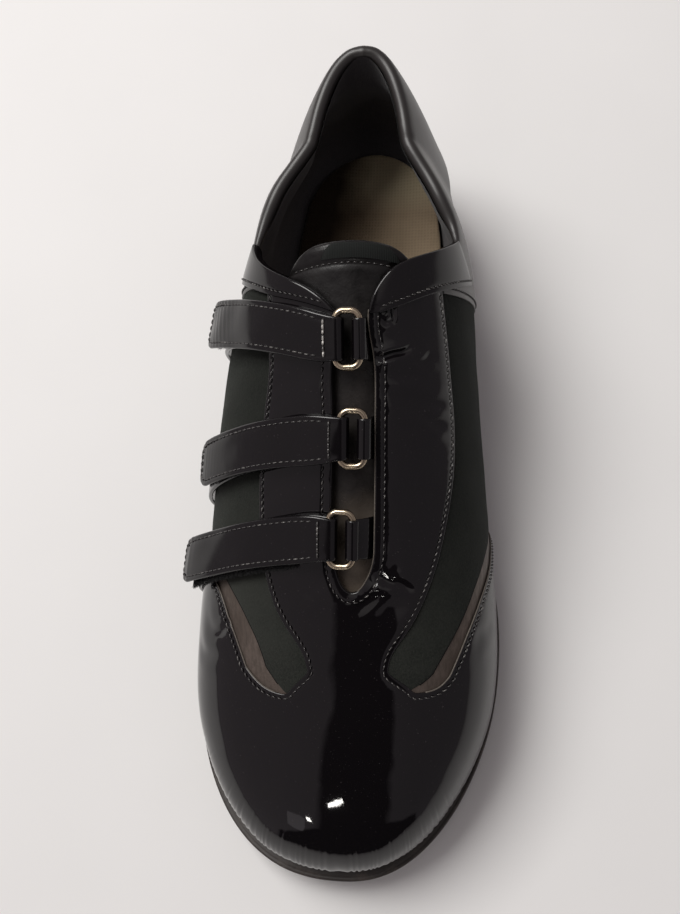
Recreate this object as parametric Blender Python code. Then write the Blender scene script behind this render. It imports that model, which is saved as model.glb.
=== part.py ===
"""A low black shoe with three hook-and-loop straps, right foot, size EU 39.

Every piece is worked out from one form, the last.  The last is a row of
girth sections from heel to toe, joined by a fan of sections round the heel
and another round the toe.  A place on it is given by three numbers:

  r    how far along the shoe, from the back of the heel (0) to the toe tip,
  g    how far round the girth, from the ridge of the instep down the side,
  off  how far out from the surface, along its normal.

side is +1 for the inner (medial) side and -1 for the outer (lateral) side.
Lengths are in millimetres until a mesh is made.  The toe points to -Y, the
inner side to +X, and the sole stands on z = 0.
"""
import bpy
import bmesh
import numpy as np
from math import cos, pi, sin

MM = 0.001
LATERAL, MEDIAL = -1, 1

# ---- driving sizes ---------------------------------------------------------
X_CENTRE = -4.418         # middle of the whole shoe's width, straps included
T_CENTRE = 133.433        # middle of the shoe's length
T_HEEL = 36.0             # where the heel fan begins, from the back
T_TOE = 200.0             # where the toe fan begins
T_TIP = 261.4             # front of the last
R_HEEL = 48.0             # r spent on the heel fan
R_TOE = 84.0              # r spent on the toe fan
TOE_POWER = 2.37          # roundness of the toe in plan
HEEL_POWERS = (1.85, 2.4)  # roundness of the heel in plan, low down and at the collar

UPPER_WALL = 2.0
GAP = 0.3                 # clearance between pieces that touch
SEAT_GAP = 0.7           # clearance between the sole's curved top and what stands on it
INSOLE_THICK = 3.0
TONGUE_THICK = 3.0
STRAP_THICK = 1.2
TAB_THICK = 0.8
PAD_THICK = 1.0
INLAY_DEPTH = 1.1         # how deep the inlays' step goes into the upper's wall
INLAY_THICK = 0.55
CUFF_THICK = 0.9

RING_LENGTH = 18.2
RING_WIDTH = 9.0
RING_WIRE = 2.0
RING_CORNER = 2.6         # radius of the wire's centre line at the ring's corners
RING_STEPS = 22
RING_LIFT = 2.8           # wire's centre above the last
BAR = (RING_WIDTH - RING_WIRE) / 2                      # middle to the wire of a long side
BAR_HALF = (RING_LENGTH - RING_WIRE) / 2 - RING_CORNER  # half the straight of a long side

SOLE_EDGE_TOE = 5.3       # how far the sole stands out past the upper
SOLE_EDGE_HEEL = 2.2
ARCH_RISE = 6.5
TOE_SPRING = 6.5
TREAD_DEPTH = 1.8
TREAD_WIDTH = 4.0

# ---- sections of the last, back to front -----------------------------------
# t       distance from the back of the heel
# feather height of the last's bottom edge
# foot_m, foot_l   half widths at that edge, inner and outer side
# wide_m, wide_l   half widths at the widest line
# rise    height of the widest line over the bottom edge
# ridge   height of the top of the section
# lean    how far the ridge lies to the inner side
# full    extra fullness of the shoulder
# round   1 is an ellipse, more is sharper on top
# bend    how far the whole section lies to the inner side
SECTION_COLUMNS = ("t", "feather", "foot_m", "foot_l", "wide_m", "wide_l",
                   "rise", "ridge", "lean", "full", "round", "bend")
SECTIONS = (
    (-10, 25.0, 26.0, 27.0, 27.0, 30.0, 19, 91.4, 0.0, 0.00, 2.00, 0.0),
    (33, 24.8, 26.5, 27.6, 27.5, 30.8, 19, 91.4, 0.0, 0.00, 2.00, 0.0),
    (50, 24.0, 27.4, 29.3, 31.5, 34.3, 19, 96.5, 0.2, 0.00, 1.25, 0.0),
    (68, 22.8, 28.0, 31.0, 36.0, 37.5, 18, 103.0, 0.8, 0.00, 0.92, 0.0),
    (90, 19.5, 28.5, 34.5, 38.0, 43.0, 18, 97.0, 1.5, 0.02, 0.92, 0.0),
    (120, 14.5, 32.0, 40.0, 40.5, 48.5, 17, 85.0, 2.2, 0.04, 1.00, 0.0),
    (150, 10.8, 38.0, 45.0, 43.5, 50.5, 15, 73.5, 2.2, 0.07, 1.03, 0.0),
    (180, 9.0, 43.0, 49.5, 46.0, 52.7, 14, 62.5, 2.0, 0.10, 1.02, 0.0),
    (205, 9.0, 42.5, 49.8, 46.0, 52.0, 13, 54.5, 1.5, 0.12, 1.00, -0.5),
    (235, 11.0, 40.3, 45.7, 43.2, 46.5, 10, 47.0, 1.0, 0.14, 0.98, -2.8),
    (262, 14.0, 37.3, 42.0, 39.3, 42.7, 5, 41.0, 0.5, 0.14, 0.96, -3.5),
)
# the back of the heel: height over the heel's bottom edge, distance t
HEEL_CURVE = ((0, 4.0), (12, 3.0), (25, 2.8), (45, 4.4), (62, 5.0), (75, 5.0))

# ---- the upper's edges ------------------------------------------------------
# the collar behind the ankle: distance t, height
COLLAR = ((3, 84.0), (20, 82.0), (40, 78.0), (56, 76.0))
# the collar's front, down to the throat: distance t, girth g
COLLAR_FRONT = {
    LATERAL: ((70, 46.0), (77, 40.0), (83, 32.0), (89, 21.5), (93, 14.0), (97, 8.5), (101, 5.0)),
    MEDIAL: ((70, 43.5), (75, 36.5), (80, 27.5), (85, 17.5), (88, 12.5), (92, 8.5), (96, 6.0),
             (101, 4.6)),
}
# the slit of the throat: distance t, half width
THROAT = ((101, 4.9), (112, 5.9), (125, 6.4), (150, 6.5), (170, 6.4))
THROAT_END = 178.0

# inlays on each side.  top is the edge next to the eyestay and round the tip,
# seam is the edge between suede and pewter, front is the pewter's far edge
SOLE_LINE = 200.0         # stands for "down to the bottom edge"
INLAYS = {
    MEDIAL: dict(
        top=((91, 31), (104, 32.5), (118, 34), (131, 34.5), (155, 30), (170, 25.5), (180, 21.5),
             (190, 16), (196, 12.5), (201, 12), (206, 14), (210.5, 18.5)),
        seam=((74, SOLE_LINE), (90, SOLE_LINE), (105, SOLE_LINE), (118, SOLE_LINE),
              (130, SOLE_LINE), (141, SOLE_LINE), (147, 73), (153, 63.5), (162, 52.5), (173, 42.5),
              (185, 34.7), (196, 28), (209.5, 21)),
        front=((146, SOLE_LINE), (152, 73.5), (158, 65), (165, 56.5), (172, 49), (180, 42.5), (189, 37),
               (199, 32), (207, 27.5), (212, 22.5)),
    ),
    LATERAL: dict(
        top=((90, 30), (103, 29), (113, 28.5), (125, 30), (150, 31.5), (166, 29.5), (176, 27),
             (186, 22), (193, 16.5), (198, 13.5), (206, 13), (215, 17.5)),
        seam=((74, SOLE_LINE), (90, SOLE_LINE), (105, SOLE_LINE), (118, SOLE_LINE),
              (130, SOLE_LINE), (142, SOLE_LINE), (149, 78), (156, 67), (165, 55.5), (178, 41),
              (189, 32.5), (200, 26.5), (214, 22.5)),
        front=((148, SOLE_LINE), (154.5, 78), (161, 68.5), (168, 59.5), (175, 50), (184, 43), (195, 36.5),
               (205, 31), (213, 26.5), (218, 23)),
    ),
}
# the cuff's lower seam: distance t, girth g
CUFF_SEAM = {
    LATERAL: ((80, 56.0), (84, 47.0), (88.5, 37.0), (93, 27.0), (97.5, 14.0), (99.5, 8.5)),
    MEDIAL: ((80, 55.0), (84, 45.0), (89, 33.0), (94, 22.0), (98, 14.0), (100.5, 8.5)),
}

# tongue: distance t, half girth it covers
TONGUE = ((81.5, 12.0), (82.8, 18.5), (86, 24.0), (92, 27.0), (104, 26.0), (130, 22.0),
          (160, 18.0), (184, 15.0))
TONGUE_OFF = -(UPPER_WALL + 5 * GAP + TAB_THICK)

# straps, ankle to toe
# ring     t of the ring's middle
# shift    g of the ring's middle, to the inner side
# middle   the strap's centre line: distance t at girths 8, 32 and 60
# width    strap width at the ring and at its loose end
# end      girth g of the loose end, root the girth where it is sewn down
# flare    how far the loose end stands off
STRAP_COLUMNS = ("ring", "shift", "middle", "width", "end", "root", "flare")
STRAPS = (
    (107.9, -1.2, (107.4, 100.3, 93.5), (13.8, 14.4), 60.0, 82.0, 3.0),
    (134.6, 0.0, (134.8, 135.4, 137.2), (14.0, 14.2), 58.0, 82.0, 1.6),
    (162.4, -3.0, (161.9, 163.8, 166.8), (13.8, 14.2), 63.0, 80.0, 3.0),
)


# ---- small tools ------------------------------------------------------------
def spline(points):
    """A smooth curve through (x, y) points, as a function of x."""
    xs, ys = np.array(points, float).T
    n = len(xs)
    h = np.diff(xs)
    a = np.eye(n)
    b = np.zeros(n)
    for i in range(1, n - 1):
        a[i, i - 1:i + 2] = h[i - 1], 2 * (h[i - 1] + h[i]), h[i]
        b[i] = 3 * ((ys[i + 1] - ys[i]) / h[i] - (ys[i] - ys[i - 1]) / h[i - 1])
    c = np.linalg.solve(a, b)
    slope = np.diff(ys) / h - h * (2 * c[:-1] + c[1:]) / 3
    d = np.diff(c) / (3 * h)

    def curve(x):
        x = np.clip(x, xs[0], xs[-1])
        i = np.clip(np.searchsorted(xs, x) - 1, 0, n - 2)
        q = x - xs[i]
        return ys[i] + q * (slope[i] + q * (c[i] + q * d[i]))
    return curve


def smooth_step(x, start, end):
    """0 before start, 1 after end, and smooth between."""
    w = np.clip((np.asarray(x, float) - start) / (end - start), 0, 1)
    return w * w * (3 - 2 * w)


def unit(v):
    return v / np.maximum(np.linalg.norm(v, axis=-1, keepdims=True), 1e-12)


# ---- the last ---------------------------------------------------------------
COLUMN = {name: spline([(row[0], row[i]) for row in SECTIONS])
          for i, name in enumerate(SECTION_COLUMNS)}
HEEL_BACK = spline(HEEL_CURVE)
R_STRAIGHT = R_HEEL + T_TOE - T_HEEL      # r where the toe fan begins
R_END = R_STRAIGHT + R_TOE


def r_at(t):
    """r of the section at distance t from the back of the heel."""
    return R_HEEL + np.asarray(t, float) - T_HEEL


def half(name, side, t):
    return COLUMN[name + ("_m" if side == MEDIAL else "_l")](t)


def dome(side, t, turn, cap):
    """The section above its widest line; turn runs from the ridge to it."""
    s = np.sin(turn) * side
    c = np.maximum(np.cos(turn), 0)
    wide = (COLUMN["wide_m"](t) + COLUMN["wide_l"](t)) / 2
    skew = (COLUMN["wide_m"](t) - COLUMN["wide_l"](t)) / 2
    base = COLUMN["feather"](t) + COLUMN["rise"](t)
    x = COLUMN["lean"](t) + wide * s * (1 + COLUMN["full"](t) * c**2) + (skew - COLUMN["lean"](t)) * s * s
    z = base + (COLUMN["ridge"](t) - base) * c ** COLUMN["round"](t) * cap
    return COLUMN["bend"](t) + cap * x, z


def wall(side, t, down):
    """The section below its widest line; down runs from 0 to 1 at the bottom edge."""
    tuck = (half("wide", side, t) - half("foot", side, t)) * down**2
    z = COLUMN["feather"](t) + COLUMN["rise"](t) * (1 - down)
    return tuck, z


def section(side, r, count=120):
    """Points down one girth line of the last, from the ridge to the bottom edge."""
    turn = np.linspace(0, pi / 2, count)
    down = np.linspace(0, 1, count // 2)[1:]
    if r <= R_STRAIGHT:
        t = max(T_HEEL, T_HEEL + r - R_HEEL)
        x, z = dome(side, t, turn, 1.0)
        tuck, z_wall = wall(side, t, down)
        x = np.concatenate([x, COLUMN["bend"](t) + side * (half("wide", side, t) - tuck)])
        z = np.concatenate([z, z_wall])
        ts = np.full(len(z), t)
        if r < R_HEEL:
            back = sin(pi / 2 * (1 - r / R_HEEL))
            seat = COLUMN["feather"](T_HEEL)
            power = HEEL_POWERS[0] + (HEEL_POWERS[1] - HEEL_POWERS[0]) * smooth_step(z, 48, 84)
            x = x * np.maximum(1 - back**power, 0) ** (1 / power)
            ts = T_HEEL - (T_HEEL - HEEL_BACK(z - seat)) * back
        return np.stack([x, ts, z], -1)
    ahead = sin(pi / 2 * (r - R_STRAIGHT) / R_TOE)
    across = max(1 - ahead**TOE_POWER, 0) ** (1 / TOE_POWER)
    out = np.sin(turn)
    cap = np.maximum(1 - (out * ahead)**TOE_POWER, 0) ** (1 / TOE_POWER)
    ts = T_TOE + (T_TIP - T_TOE) * out * ahead
    aside = np.clip(out * across / np.maximum(cap, 1e-9), 0, 1)
    x, z = dome(side, ts, np.arcsin(aside), cap)
    edge = T_TOE + (T_TIP - T_TOE) * ahead
    tuck, z_wall = wall(side, edge, down)
    x_wall = COLUMN["bend"](edge) + side * (half("wide", side, edge) - tuck) * across
    t_wall = T_TOE + (T_TIP - T_TOE - tuck) * ahead
    return np.stack([np.concatenate([x, x_wall]), np.concatenate([ts, t_wall]),
                     np.concatenate([z, z_wall])], -1)


class Skin:
    """The last's surface, looked up by r and g, with its outward normal."""

    STEP = 1.0

    def __init__(self):
        self.rs = np.arange(0, R_END + self.STEP, self.STEP)
        self.rs[-1] = R_END
        self.girth, self.place, self.normal = {}, {}, {}
        for side in (LATERAL, MEDIAL):
            self.tabulate(side)
        self.join_normals()

    def tabulate(self, side):
        lines = [section(side, r) for r in self.rs]
        arcs = [np.concatenate([[0], np.cumsum(np.linalg.norm(np.diff(p, axis=0), axis=1))])
                for p in lines]
        self.girth[side] = np.array([a[-1] for a in arcs])
        self.gs = np.arange(0, 108, self.STEP)
        place = np.array([[np.interp(self.gs, a, p[:, k]) for k in range(3)]
                          for a, p in zip(arcs, lines)]).transpose(0, 2, 1)
        normal = np.cross(np.gradient(place, axis=0), np.gradient(place, axis=1)) * -side
        for i, a in enumerate(arcs):
            last = int(a[-1] / self.STEP)
            normal[i, last:] = normal[i, last - 1]
        flat = np.linalg.norm(normal, axis=2) < 1e-3
        normal[flat] = (0, 0, 1)
        self.place[side] = place
        self.normal[side] = unit(normal)

    def join_normals(self):
        """One normal for both sides where they meet: ridge, back and toe tip."""
        ridge = self.rs >= R_HEEL
        for pick in ((ridge, 0), (0, slice(None)), (-1, slice(None))):
            mean = self.normal[MEDIAL][pick] + self.normal[LATERAL][pick]
            for side in (LATERAL, MEDIAL):
                self.normal[side][pick] = unit(mean)

    def end(self, side, r):
        """g of the bottom edge."""
        return np.interp(r, self.rs, self.girth[side])

    def at(self, side, r, g, off=0.0):
        """Points in the shoe's own axes: x to the inner side, y = t, z up."""
        r, g, off = np.broadcast_arrays(np.asarray(r, float), np.asarray(g, float),
                                        np.asarray(off, float))
        r = np.clip(r, 0, R_END)
        g = np.clip(g, 0, self.end(side, r))
        i = np.clip((r / self.STEP).astype(int), 0, len(self.rs) - 2)
        j = np.clip((g / self.STEP).astype(int), 0, len(self.gs) - 2)
        fr = ((r - self.rs[i]) / (self.rs[i + 1] - self.rs[i]))[..., None]
        fg = (g / self.STEP - j)[..., None]

        def blend(table):
            return ((1 - fr) * ((1 - fg) * table[i, j] + fg * table[i, j + 1])
                    + fr * ((1 - fg) * table[i + 1, j] + fg * table[i + 1, j + 1]))
        return blend(self.place[side]) + unit(blend(self.normal[side])) * off[..., None]


def to_world(points):
    """From the shoe's own axes, in millimetres, to metres with the toe at -Y."""
    points = np.asarray(points, float)
    return np.stack([points[..., 0] - X_CENTRE, T_CENTRE - points[..., 1], points[..., 2]],
                    -1) * MM


# ---- making nodes -----------------------------------------------------------
MATERIALS = {}


def material(name, colour, roughness, metallic=0.0):
    if name not in MATERIALS:
        made = bpy.data.materials.new(name)
        made.use_nodes = True
        made.diffuse_color = (*colour, 1)
        shader = made.node_tree.nodes["Principled BSDF"]
        shader.inputs["Base Color"].default_value = (*colour, 1)
        shader.inputs["Roughness"].default_value = roughness
        shader.inputs["Metallic"].default_value = metallic
        MATERIALS[name] = made
    return MATERIALS[name]


def patent():
    return material("black_patent", (0.012, 0.011, 0.012), 0.12)


def add_node(name, points, faces, finish, guide=False):
    """One closed object from points in the shoe's own axes."""
    mesh = bpy.data.meshes.new(name)
    mesh.from_pydata([tuple(p) for p in to_world(points)], [], faces)
    bm = bmesh.new()
    bm.from_mesh(mesh)
    bmesh.ops.remove_doubles(bm, verts=bm.verts, dist=0.00001)
    bmesh.ops.dissolve_degenerate(bm, edges=bm.edges, dist=0.00001)
    bmesh.ops.recalc_face_normals(bm, faces=bm.faces)
    bm.to_mesh(mesh)
    bm.free()
    mesh.shade_smooth()
    mesh.set_sharp_from_angle(angle=0.6)
    node = bpy.data.objects.new(name, mesh)
    if finish:
        node.data.materials.append(finish)
    node.hide_render = guide
    if guide:
        node.display_type = "WIRE"
    bpy.context.collection.objects.link(node)
    return node


def cut(node, cutter):
    boolean = node.modifiers.new("cut_" + cutter.name, "BOOLEAN")
    boolean.operation = "DIFFERENCE"
    boolean.solver = "EXACT"
    boolean.object = cutter


def grid_faces(rows, columns, start=0, flip=False, closed=False):
    """Triangles over a grid of points numbered row by row, all split the same way."""
    faces = []
    for i in range(rows - 1):
        for j in range(columns if closed else columns - 1):
            k = (j + 1) % columns
            a, b = start + i * columns + j, start + i * columns + k
            c, d = b + columns, a + columns
            for corner in ((a, b, c), (a, c, d)):
                faces.append(corner[::-1] if flip else corner)
    return faces


def slab(name, low, high, finish, guide=False):
    """A closed plate between two grids of points of the same shape."""
    rows, columns = low.shape[:2]
    count = rows * columns
    faces = grid_faces(rows, columns, flip=True) + grid_faces(rows, columns, count)
    rim = [j for j in range(columns)]
    rim += [i * columns + columns - 1 for i in range(1, rows)]
    rim += [(rows - 1) * columns + j for j in range(columns - 2, -1, -1)]
    rim += [i * columns for i in range(rows - 2, 0, -1)]
    for a, b in zip(rim, rim[1:] + rim[:1]):
        faces.append((a, b, b + count, a + count))
    points = np.concatenate([low.reshape(-1, 3), high.reshape(-1, 3)])
    return add_node(name, points, faces, finish, guide)


# ---- sole and insole --------------------------------------------------------
def bottom_line(skin, inset):
    """The last's bottom edge as a closed loop, moved inwards by inset, and its r."""
    rs = np.concatenate([np.linspace(0, R_HEEL, 8)[:-1], np.linspace(R_HEEL, R_STRAIGHT, 15),
                         np.linspace(R_STRAIGHT, R_END, 10)[1:]])
    loop = np.concatenate([skin.at(MEDIAL, rs, 200), skin.at(LATERAL, rs, 200)[-2:0:-1]])
    along = np.concatenate([rs, rs[-2:0:-1]])
    tangent = unit(np.roll(loop, -1, 0) - np.roll(loop, 1, 0))
    outward = unit(np.stack([-tangent[:, 1], tangent[:, 0], 0 * tangent[:, 0]], -1))
    middle = np.array([0, T_CENTRE, 0])
    if ((loop - middle) * outward).sum(1).mean() < 0:
        outward = -outward
    amount = inset(along) if callable(inset) else inset
    return loop - outward * np.asarray(amount)[..., None], along


def spine(along):
    """For each point of a loop, the point of the middle line that it shrinks to."""
    t = np.clip(T_HEEL + along - R_HEEL, T_HEEL, T_TOE)
    x = (half("foot", MEDIAL, t) - half("foot", LATERAL, t)) / 2 + COLUMN["bend"](t)
    return np.stack([x, t, 0 * t], -1)


def sole_edge(r):
    """How far the sole stands out past the upper, round the shoe."""
    front = smooth_step(r, R_HEEL, R_END)
    return SOLE_EDGE_HEEL + (SOLE_EDGE_TOE - SOLE_EDGE_HEEL) * front


def ground(t):
    """Height of the sole's underside: heel, arch, tread and toe spring."""
    arch = ARCH_RISE * smooth_step(t, 84, 108) * (1 - smooth_step(t, 112, 160))
    toe = TOE_SPRING * np.clip((t - 212) / (T_TIP - 212), 0, 1.1) ** 1.8
    back = 1.5 * np.clip((6 - t) / 6, 0, 1)
    return arch + toe + back


def feather(t):
    return COLUMN["feather"](np.clip(t, 5, T_TIP))


def rings_to_spine(loop, along, steps, height):
    """Rings of points from a loop in to its middle line; height(points, k) gives z."""
    centre = spine(along)
    rings = []
    for k in np.linspace(1, 0, steps + 1):
        ring = centre + (loop - centre) * k
        ring[:, 2] = height(ring, k)
        rings.append(ring)
    return rings


def build_outsole(skin):
    """A one-piece rubber sole: rim, groove, side wall, arch, heel and tread."""
    # the side, top to bottom: share of the height, how far in from the rim
    profile = ((0.0, 0.5), (0.04, 0.0), (0.22, 0.0), (0.27, 0.9), (0.33, 0.9), (0.38, 0.1),
               (0.70, 0.0), (0.93, 0.4), (1.0, 1.4))
    rings = []
    for share, tuck in profile:
        loop, along = bottom_line(skin, lambda r: tuck - sole_edge(r))
        top = feather(loop[:, 1]) - SEAT_GAP
        low = ground(loop[:, 1])
        loop[:, 2] = top + (low - top) * share
        rings.append(loop)
    top_rings = rings_to_spine(rings[0], along, 2, lambda p, k: feather(p[:, 1]) - SEAT_GAP)
    low_rings = rings_to_spine(rings[-1], along, 2, lambda p, k: ground(p[:, 1]))
    rings = top_rings[:0:-1] + rings + low_rings[1:]
    columns = len(rings[0])
    faces = grid_faces(len(rings), columns, closed=True)
    rubber = material("black_rubber", (0.02, 0.019, 0.018), 0.6)
    sole = add_node("outsole", np.concatenate(rings), faces, rubber)
    cut(sole, tread_cutter())
    return sole


def tread_cutter():
    """Bars that cut the grooves of the tread, heel and forefoot."""
    heel = np.arange(18, 74, 11.0)
    forefoot = np.arange(160, 246, 10.5)
    points, faces = [], []
    for t in np.concatenate([heel, forefoot]):
        low, high = -3.0, ground(t) + TREAD_DEPTH
        for x in (-62, 62):
            for z in (low, high):
                for y in (t - TREAD_WIDTH / 2, t + TREAD_WIDTH / 2):
                    points.append((x, y, z))
        n = len(points) - 8
        for quad in ((0, 1, 3, 2), (4, 6, 7, 5), (0, 4, 5, 1), (2, 3, 7, 6), (0, 2, 6, 4),
                     (1, 5, 7, 3)):
            faces.append(tuple(n + i for i in quad))
    return add_node("tread_cutter", np.array(points), faces, None, guide=True)


def build_insole(skin):
    """A cushioned sheet over the whole bottom, raised a little round the heel."""
    loop, along = bottom_line(skin, UPPER_WALL + 0.7)

    def cup(p, k):
        return 1.6 * k**3 * (1 - smooth_step(p[:, 1], 90, 140))
    low = rings_to_spine(loop, along, 2, lambda p, k: feather(p[:, 1]))
    high = rings_to_spine(loop, along, 2,
                          lambda p, k: feather(p[:, 1]) + INSOLE_THICK + cup(p, k))
    rings = low[::-1] + high
    faces = grid_faces(len(rings), len(loop), closed=True)
    cloth = material("insole_cloth", (0.09, 0.075, 0.055), 0.85)
    return add_node("insole", np.concatenate(rings), faces, cloth)


# ---- upper ------------------------------------------------------------------
def height_to_girth(skin, side, r, height):
    """g where a girth line comes down to a height."""
    g = np.linspace(0, skin.end(side, r), 200)
    z = skin.at(side, r, g)[:, 2]
    return np.interp(-height, -z, g)


def top_edge(skin, side):
    """g of the upper's top edge as a function of r: collar, cuff, throat and vamp."""
    collar = spline(COLLAR)
    knots = [(r, height_to_girth(skin, side, r, collar(skin.at(side, r, 40.0)[1])))
             for r in (0, 8, 16, 24, 32, 40, 48, 58, 67)]
    knots += [(float(r_at(t)), g) for t, g in COLLAR_FRONT[side]]
    knots += [(float(r_at(t)), g) for t, g in THROAT[1:]]
    curve = spline(knots)
    end = float(r_at(THROAT_END))
    bend = float(r_at(THROAT[-1][0]))

    def edge(r):
        r = np.asarray(r, float)
        round_off = np.sqrt(np.clip(1 - ((r - bend) / (end - bend)).clip(0, 1)**2, 0, 1))
        return np.maximum(curve(r), 0) * np.where(r > bend, round_off, 1.0)
    return edge


def upper_stations():
    """r of the upper's girth lines, closer where its edges turn."""
    t_side = np.concatenate([np.arange(45, 68, 9), np.arange(70, 101, 5), [101, 106],
                             np.arange(115, 166, 10), [170, 174, 176.8, THROAT_END], [189]])
    return np.concatenate([np.linspace(0, R_HEEL, 9), r_at(t_side),
                           np.linspace(R_STRAIGHT, R_END, 11)])


def build_upper(skin):
    """One hollow wall, open at the collar, down the throat and underneath."""
    rs = upper_stations()
    # shares of the girth, closest at the throat and where the wall turns under
    share = np.array([0, .05, .13, .23, .35, .48, .60, .70, .79, .87, .94, 1.0])[:, None]
    rows = len(share)
    shells = []
    for off in (0.0, -UPPER_WALL):
        halves = {}
        for side in (LATERAL, MEDIAL):
            top = top_edge(skin, side)(rs)
            bottom = skin.end(side, rs)
            g = top + (bottom - top) * share
            halves[side] = skin.at(side, np.broadcast_to(rs, g.shape), g, off)
        shells.append(np.concatenate([halves[LATERAL], halves[MEDIAL][:, ::-1]], axis=1))
    columns = shells[0].shape[1]
    count = rows * columns
    faces = grid_faces(rows, columns, closed=True) + grid_faces(rows, columns, count, True, True)
    bottom_row = (rows - 1) * columns
    throat_column = int(np.argmin(np.abs(rs - r_at(THROAT_END))))
    for j in range(columns):
        k = (j + 1) % columns
        on_vamp = throat_column <= j < columns - 1 - throat_column
        if not on_vamp:
            faces.append((j, k, k + count, j + count))
        a, b = bottom_row + j, bottom_row + k
        faces.append((b, a, a + count, b + count))
    points = np.concatenate([s.reshape(-1, 3) for s in shells])
    upper = add_node("upper", points, faces, patent())
    for side, word in ((LATERAL, "lateral"), (MEDIAL, "medial")):
        cut_inlay_step(skin, upper, side, word)
    return upper


# ---- inlays, cuffs and tongue -------------------------------------------------
def chart_curve(points, count, first=0):
    """A smooth curve through (t, g) points, evenly spaced, as r and g.

    It starts at the point numbered first.
    """
    points = np.array(points, float)
    length = np.concatenate([[0], np.cumsum(np.linalg.norm(np.diff(points, axis=0), axis=1))])
    share = np.linspace(length[first], length[-1], count)
    t = spline(np.stack([length, points[:, 0]], -1))(share)
    g = spline(np.stack([length, points[:, 1]], -1))(share)
    return np.stack([r_at(t), g], -1)


def settle(skin, side, rows, above=2.4):
    """Puts (t, g) points that stand for the bottom edge just above it."""
    settled = []
    for t, g in rows:
        end = float(skin.end(side, r_at(t)))
        settled.append((t, min(g, end - above)))
    return settled


def strip(skin, side, top, bottom, across, low, high):
    """Two grids between a pair of chart curves, at two heights off the last."""
    share = np.linspace(0, 1, across)[:, None, None]
    chart = top[None] * (1 - share) + bottom[None] * share
    r, g = chart[..., 0], chart[..., 1]
    return skin.at(side, r, g, low), skin.at(side, r, g, high)


def move_aside(curve, other, amount):
    """A chart curve moved square to itself, away from another one."""
    run = unit(np.gradient(curve, axis=0))
    aside = np.stack([-run[:, 1], run[:, 0]], -1)
    away = np.sign(((curve - other) * aside).sum(1))
    away[away == 0] = 1
    return curve + aside * away[:, None] * amount


def widen(top, bottom, amount):
    """Moves two chart curves apart by an amount each, and lengthens them by it."""
    moved = [move_aside(top, bottom, amount), move_aside(bottom, top, amount)]
    for curve in moved:
        curve[0] -= unit(curve[1] - curve[0]) * 2 * amount
        curve[-1] += unit(curve[-1] - curve[-2]) * 2 * amount
    return moved


def inlay_strips(skin, side, count=19):
    """Edges of the suede panel and of the pewter strip along its front."""
    rows = INLAYS[side]
    top = chart_curve(rows["top"], count)
    seam_rows = settle(skin, side, rows["seam"])
    seam = chart_curve(seam_rows, count)
    first = max(i for i, row in enumerate(rows["seam"]) if row[1] == SOLE_LINE)
    inner = chart_curve(seam_rows, count, first)
    front = chart_curve(settle(skin, side, rows["front"]), count)
    suede = (top, move_aside(seam, top, -GAP / 2))
    pewter = (move_aside(inner, front, -GAP), front)
    return (("suede_panel", suede, 9), ("pewter_strip", pewter, 3))


def cut_inlay_step(skin, upper, side, word):
    """The step in the wall that takes the suede and the pewter strip of one side."""
    for name, edges, across in inlay_strips(skin, side):
        top, bottom = widen(*edges, 1.5 * GAP)
        low, high = strip(skin, side, top, bottom, across, -INLAY_DEPTH, 2.0)
        cut(upper, slab("cutter_%s_%s" % (name, word), low, high, None, guide=True))


def build_inlays(skin, side, word):
    """Suede panel and wing, with a pewter strip along its front edge."""
    finish = dict(suede_panel=material("suede", (0.018, 0.022, 0.018), 0.95),
                  pewter_strip=material("pewter_leather", (0.13, 0.115, 0.095), 0.35, 0.6))
    low = 1.4 * GAP - INLAY_DEPTH
    for name, edges, across in inlay_strips(skin, side):
        grids = strip(skin, side, *edges, across, low, low + INLAY_THICK)
        slab("%s_%s" % (name, word), *grids, finish[name])


def build_cuff(skin, side, word):
    """The band that finishes the collar's front edge, from the side to the throat."""
    seam = chart_curve(CUFF_SEAM[side], 12)
    edge = top_edge(skin, side)
    start = float(r_at(CUFF_SEAM[side][0][0])) - 9
    stop = float(r_at(101))
    rs = np.linspace(start, stop, 12)
    top = np.stack([rs, edge(rs) + 0.4], -1)
    slab("cuff_" + word, *strip(skin, side, top, seam, 4, GAP, GAP + CUFF_THICK), patent())


def build_tongue(skin):
    """A padded sheet under the throat, standing up past it at the ankle."""
    across = np.linspace(-1, 1, 11)
    grids = []
    rows = chart_curve(TONGUE, 13)
    for off in (TONGUE_OFF - TONGUE_THICK, TONGUE_OFF):
        grid = []
        for r, width in rows:
            g = across * width
            right = skin.at(MEDIAL, r, np.maximum(g, 0), off)
            left = skin.at(LATERAL, r, np.maximum(-g, 0), off)
            grid.append(np.where((g >= 0)[:, None], right, left))
        grids.append(np.array(grid))
    return slab("tongue", grids[0], grids[1], patent())


# ---- straps, rings and tabs ---------------------------------------------------
class Ring:
    """A ring's place: its middle, and the directions along, to the side and up."""

    def __init__(self, skin, t, shift):
        side = LATERAL if shift < 0 else MEDIAL
        r = float(r_at(t))
        base = skin.at(side, r, abs(shift))
        self.up = unit(skin.at(side, r, abs(shift), 1.0) - base)
        self.middle = base + self.up * RING_LIFT
        fore = skin.at(side, r + 4, abs(shift)) - skin.at(side, r - 4, abs(shift))
        self.along = unit(fore - self.up * np.dot(fore, self.up))
        self.inward = np.cross(self.along, self.up)
        if self.inward[0] < 0:
            self.inward = -self.inward

    def point(self, along, inward, up):
        return (self.middle + np.multiply.outer(along, self.along)
                + np.multiply.outer(inward, self.inward) + np.multiply.outer(up, self.up))


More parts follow.
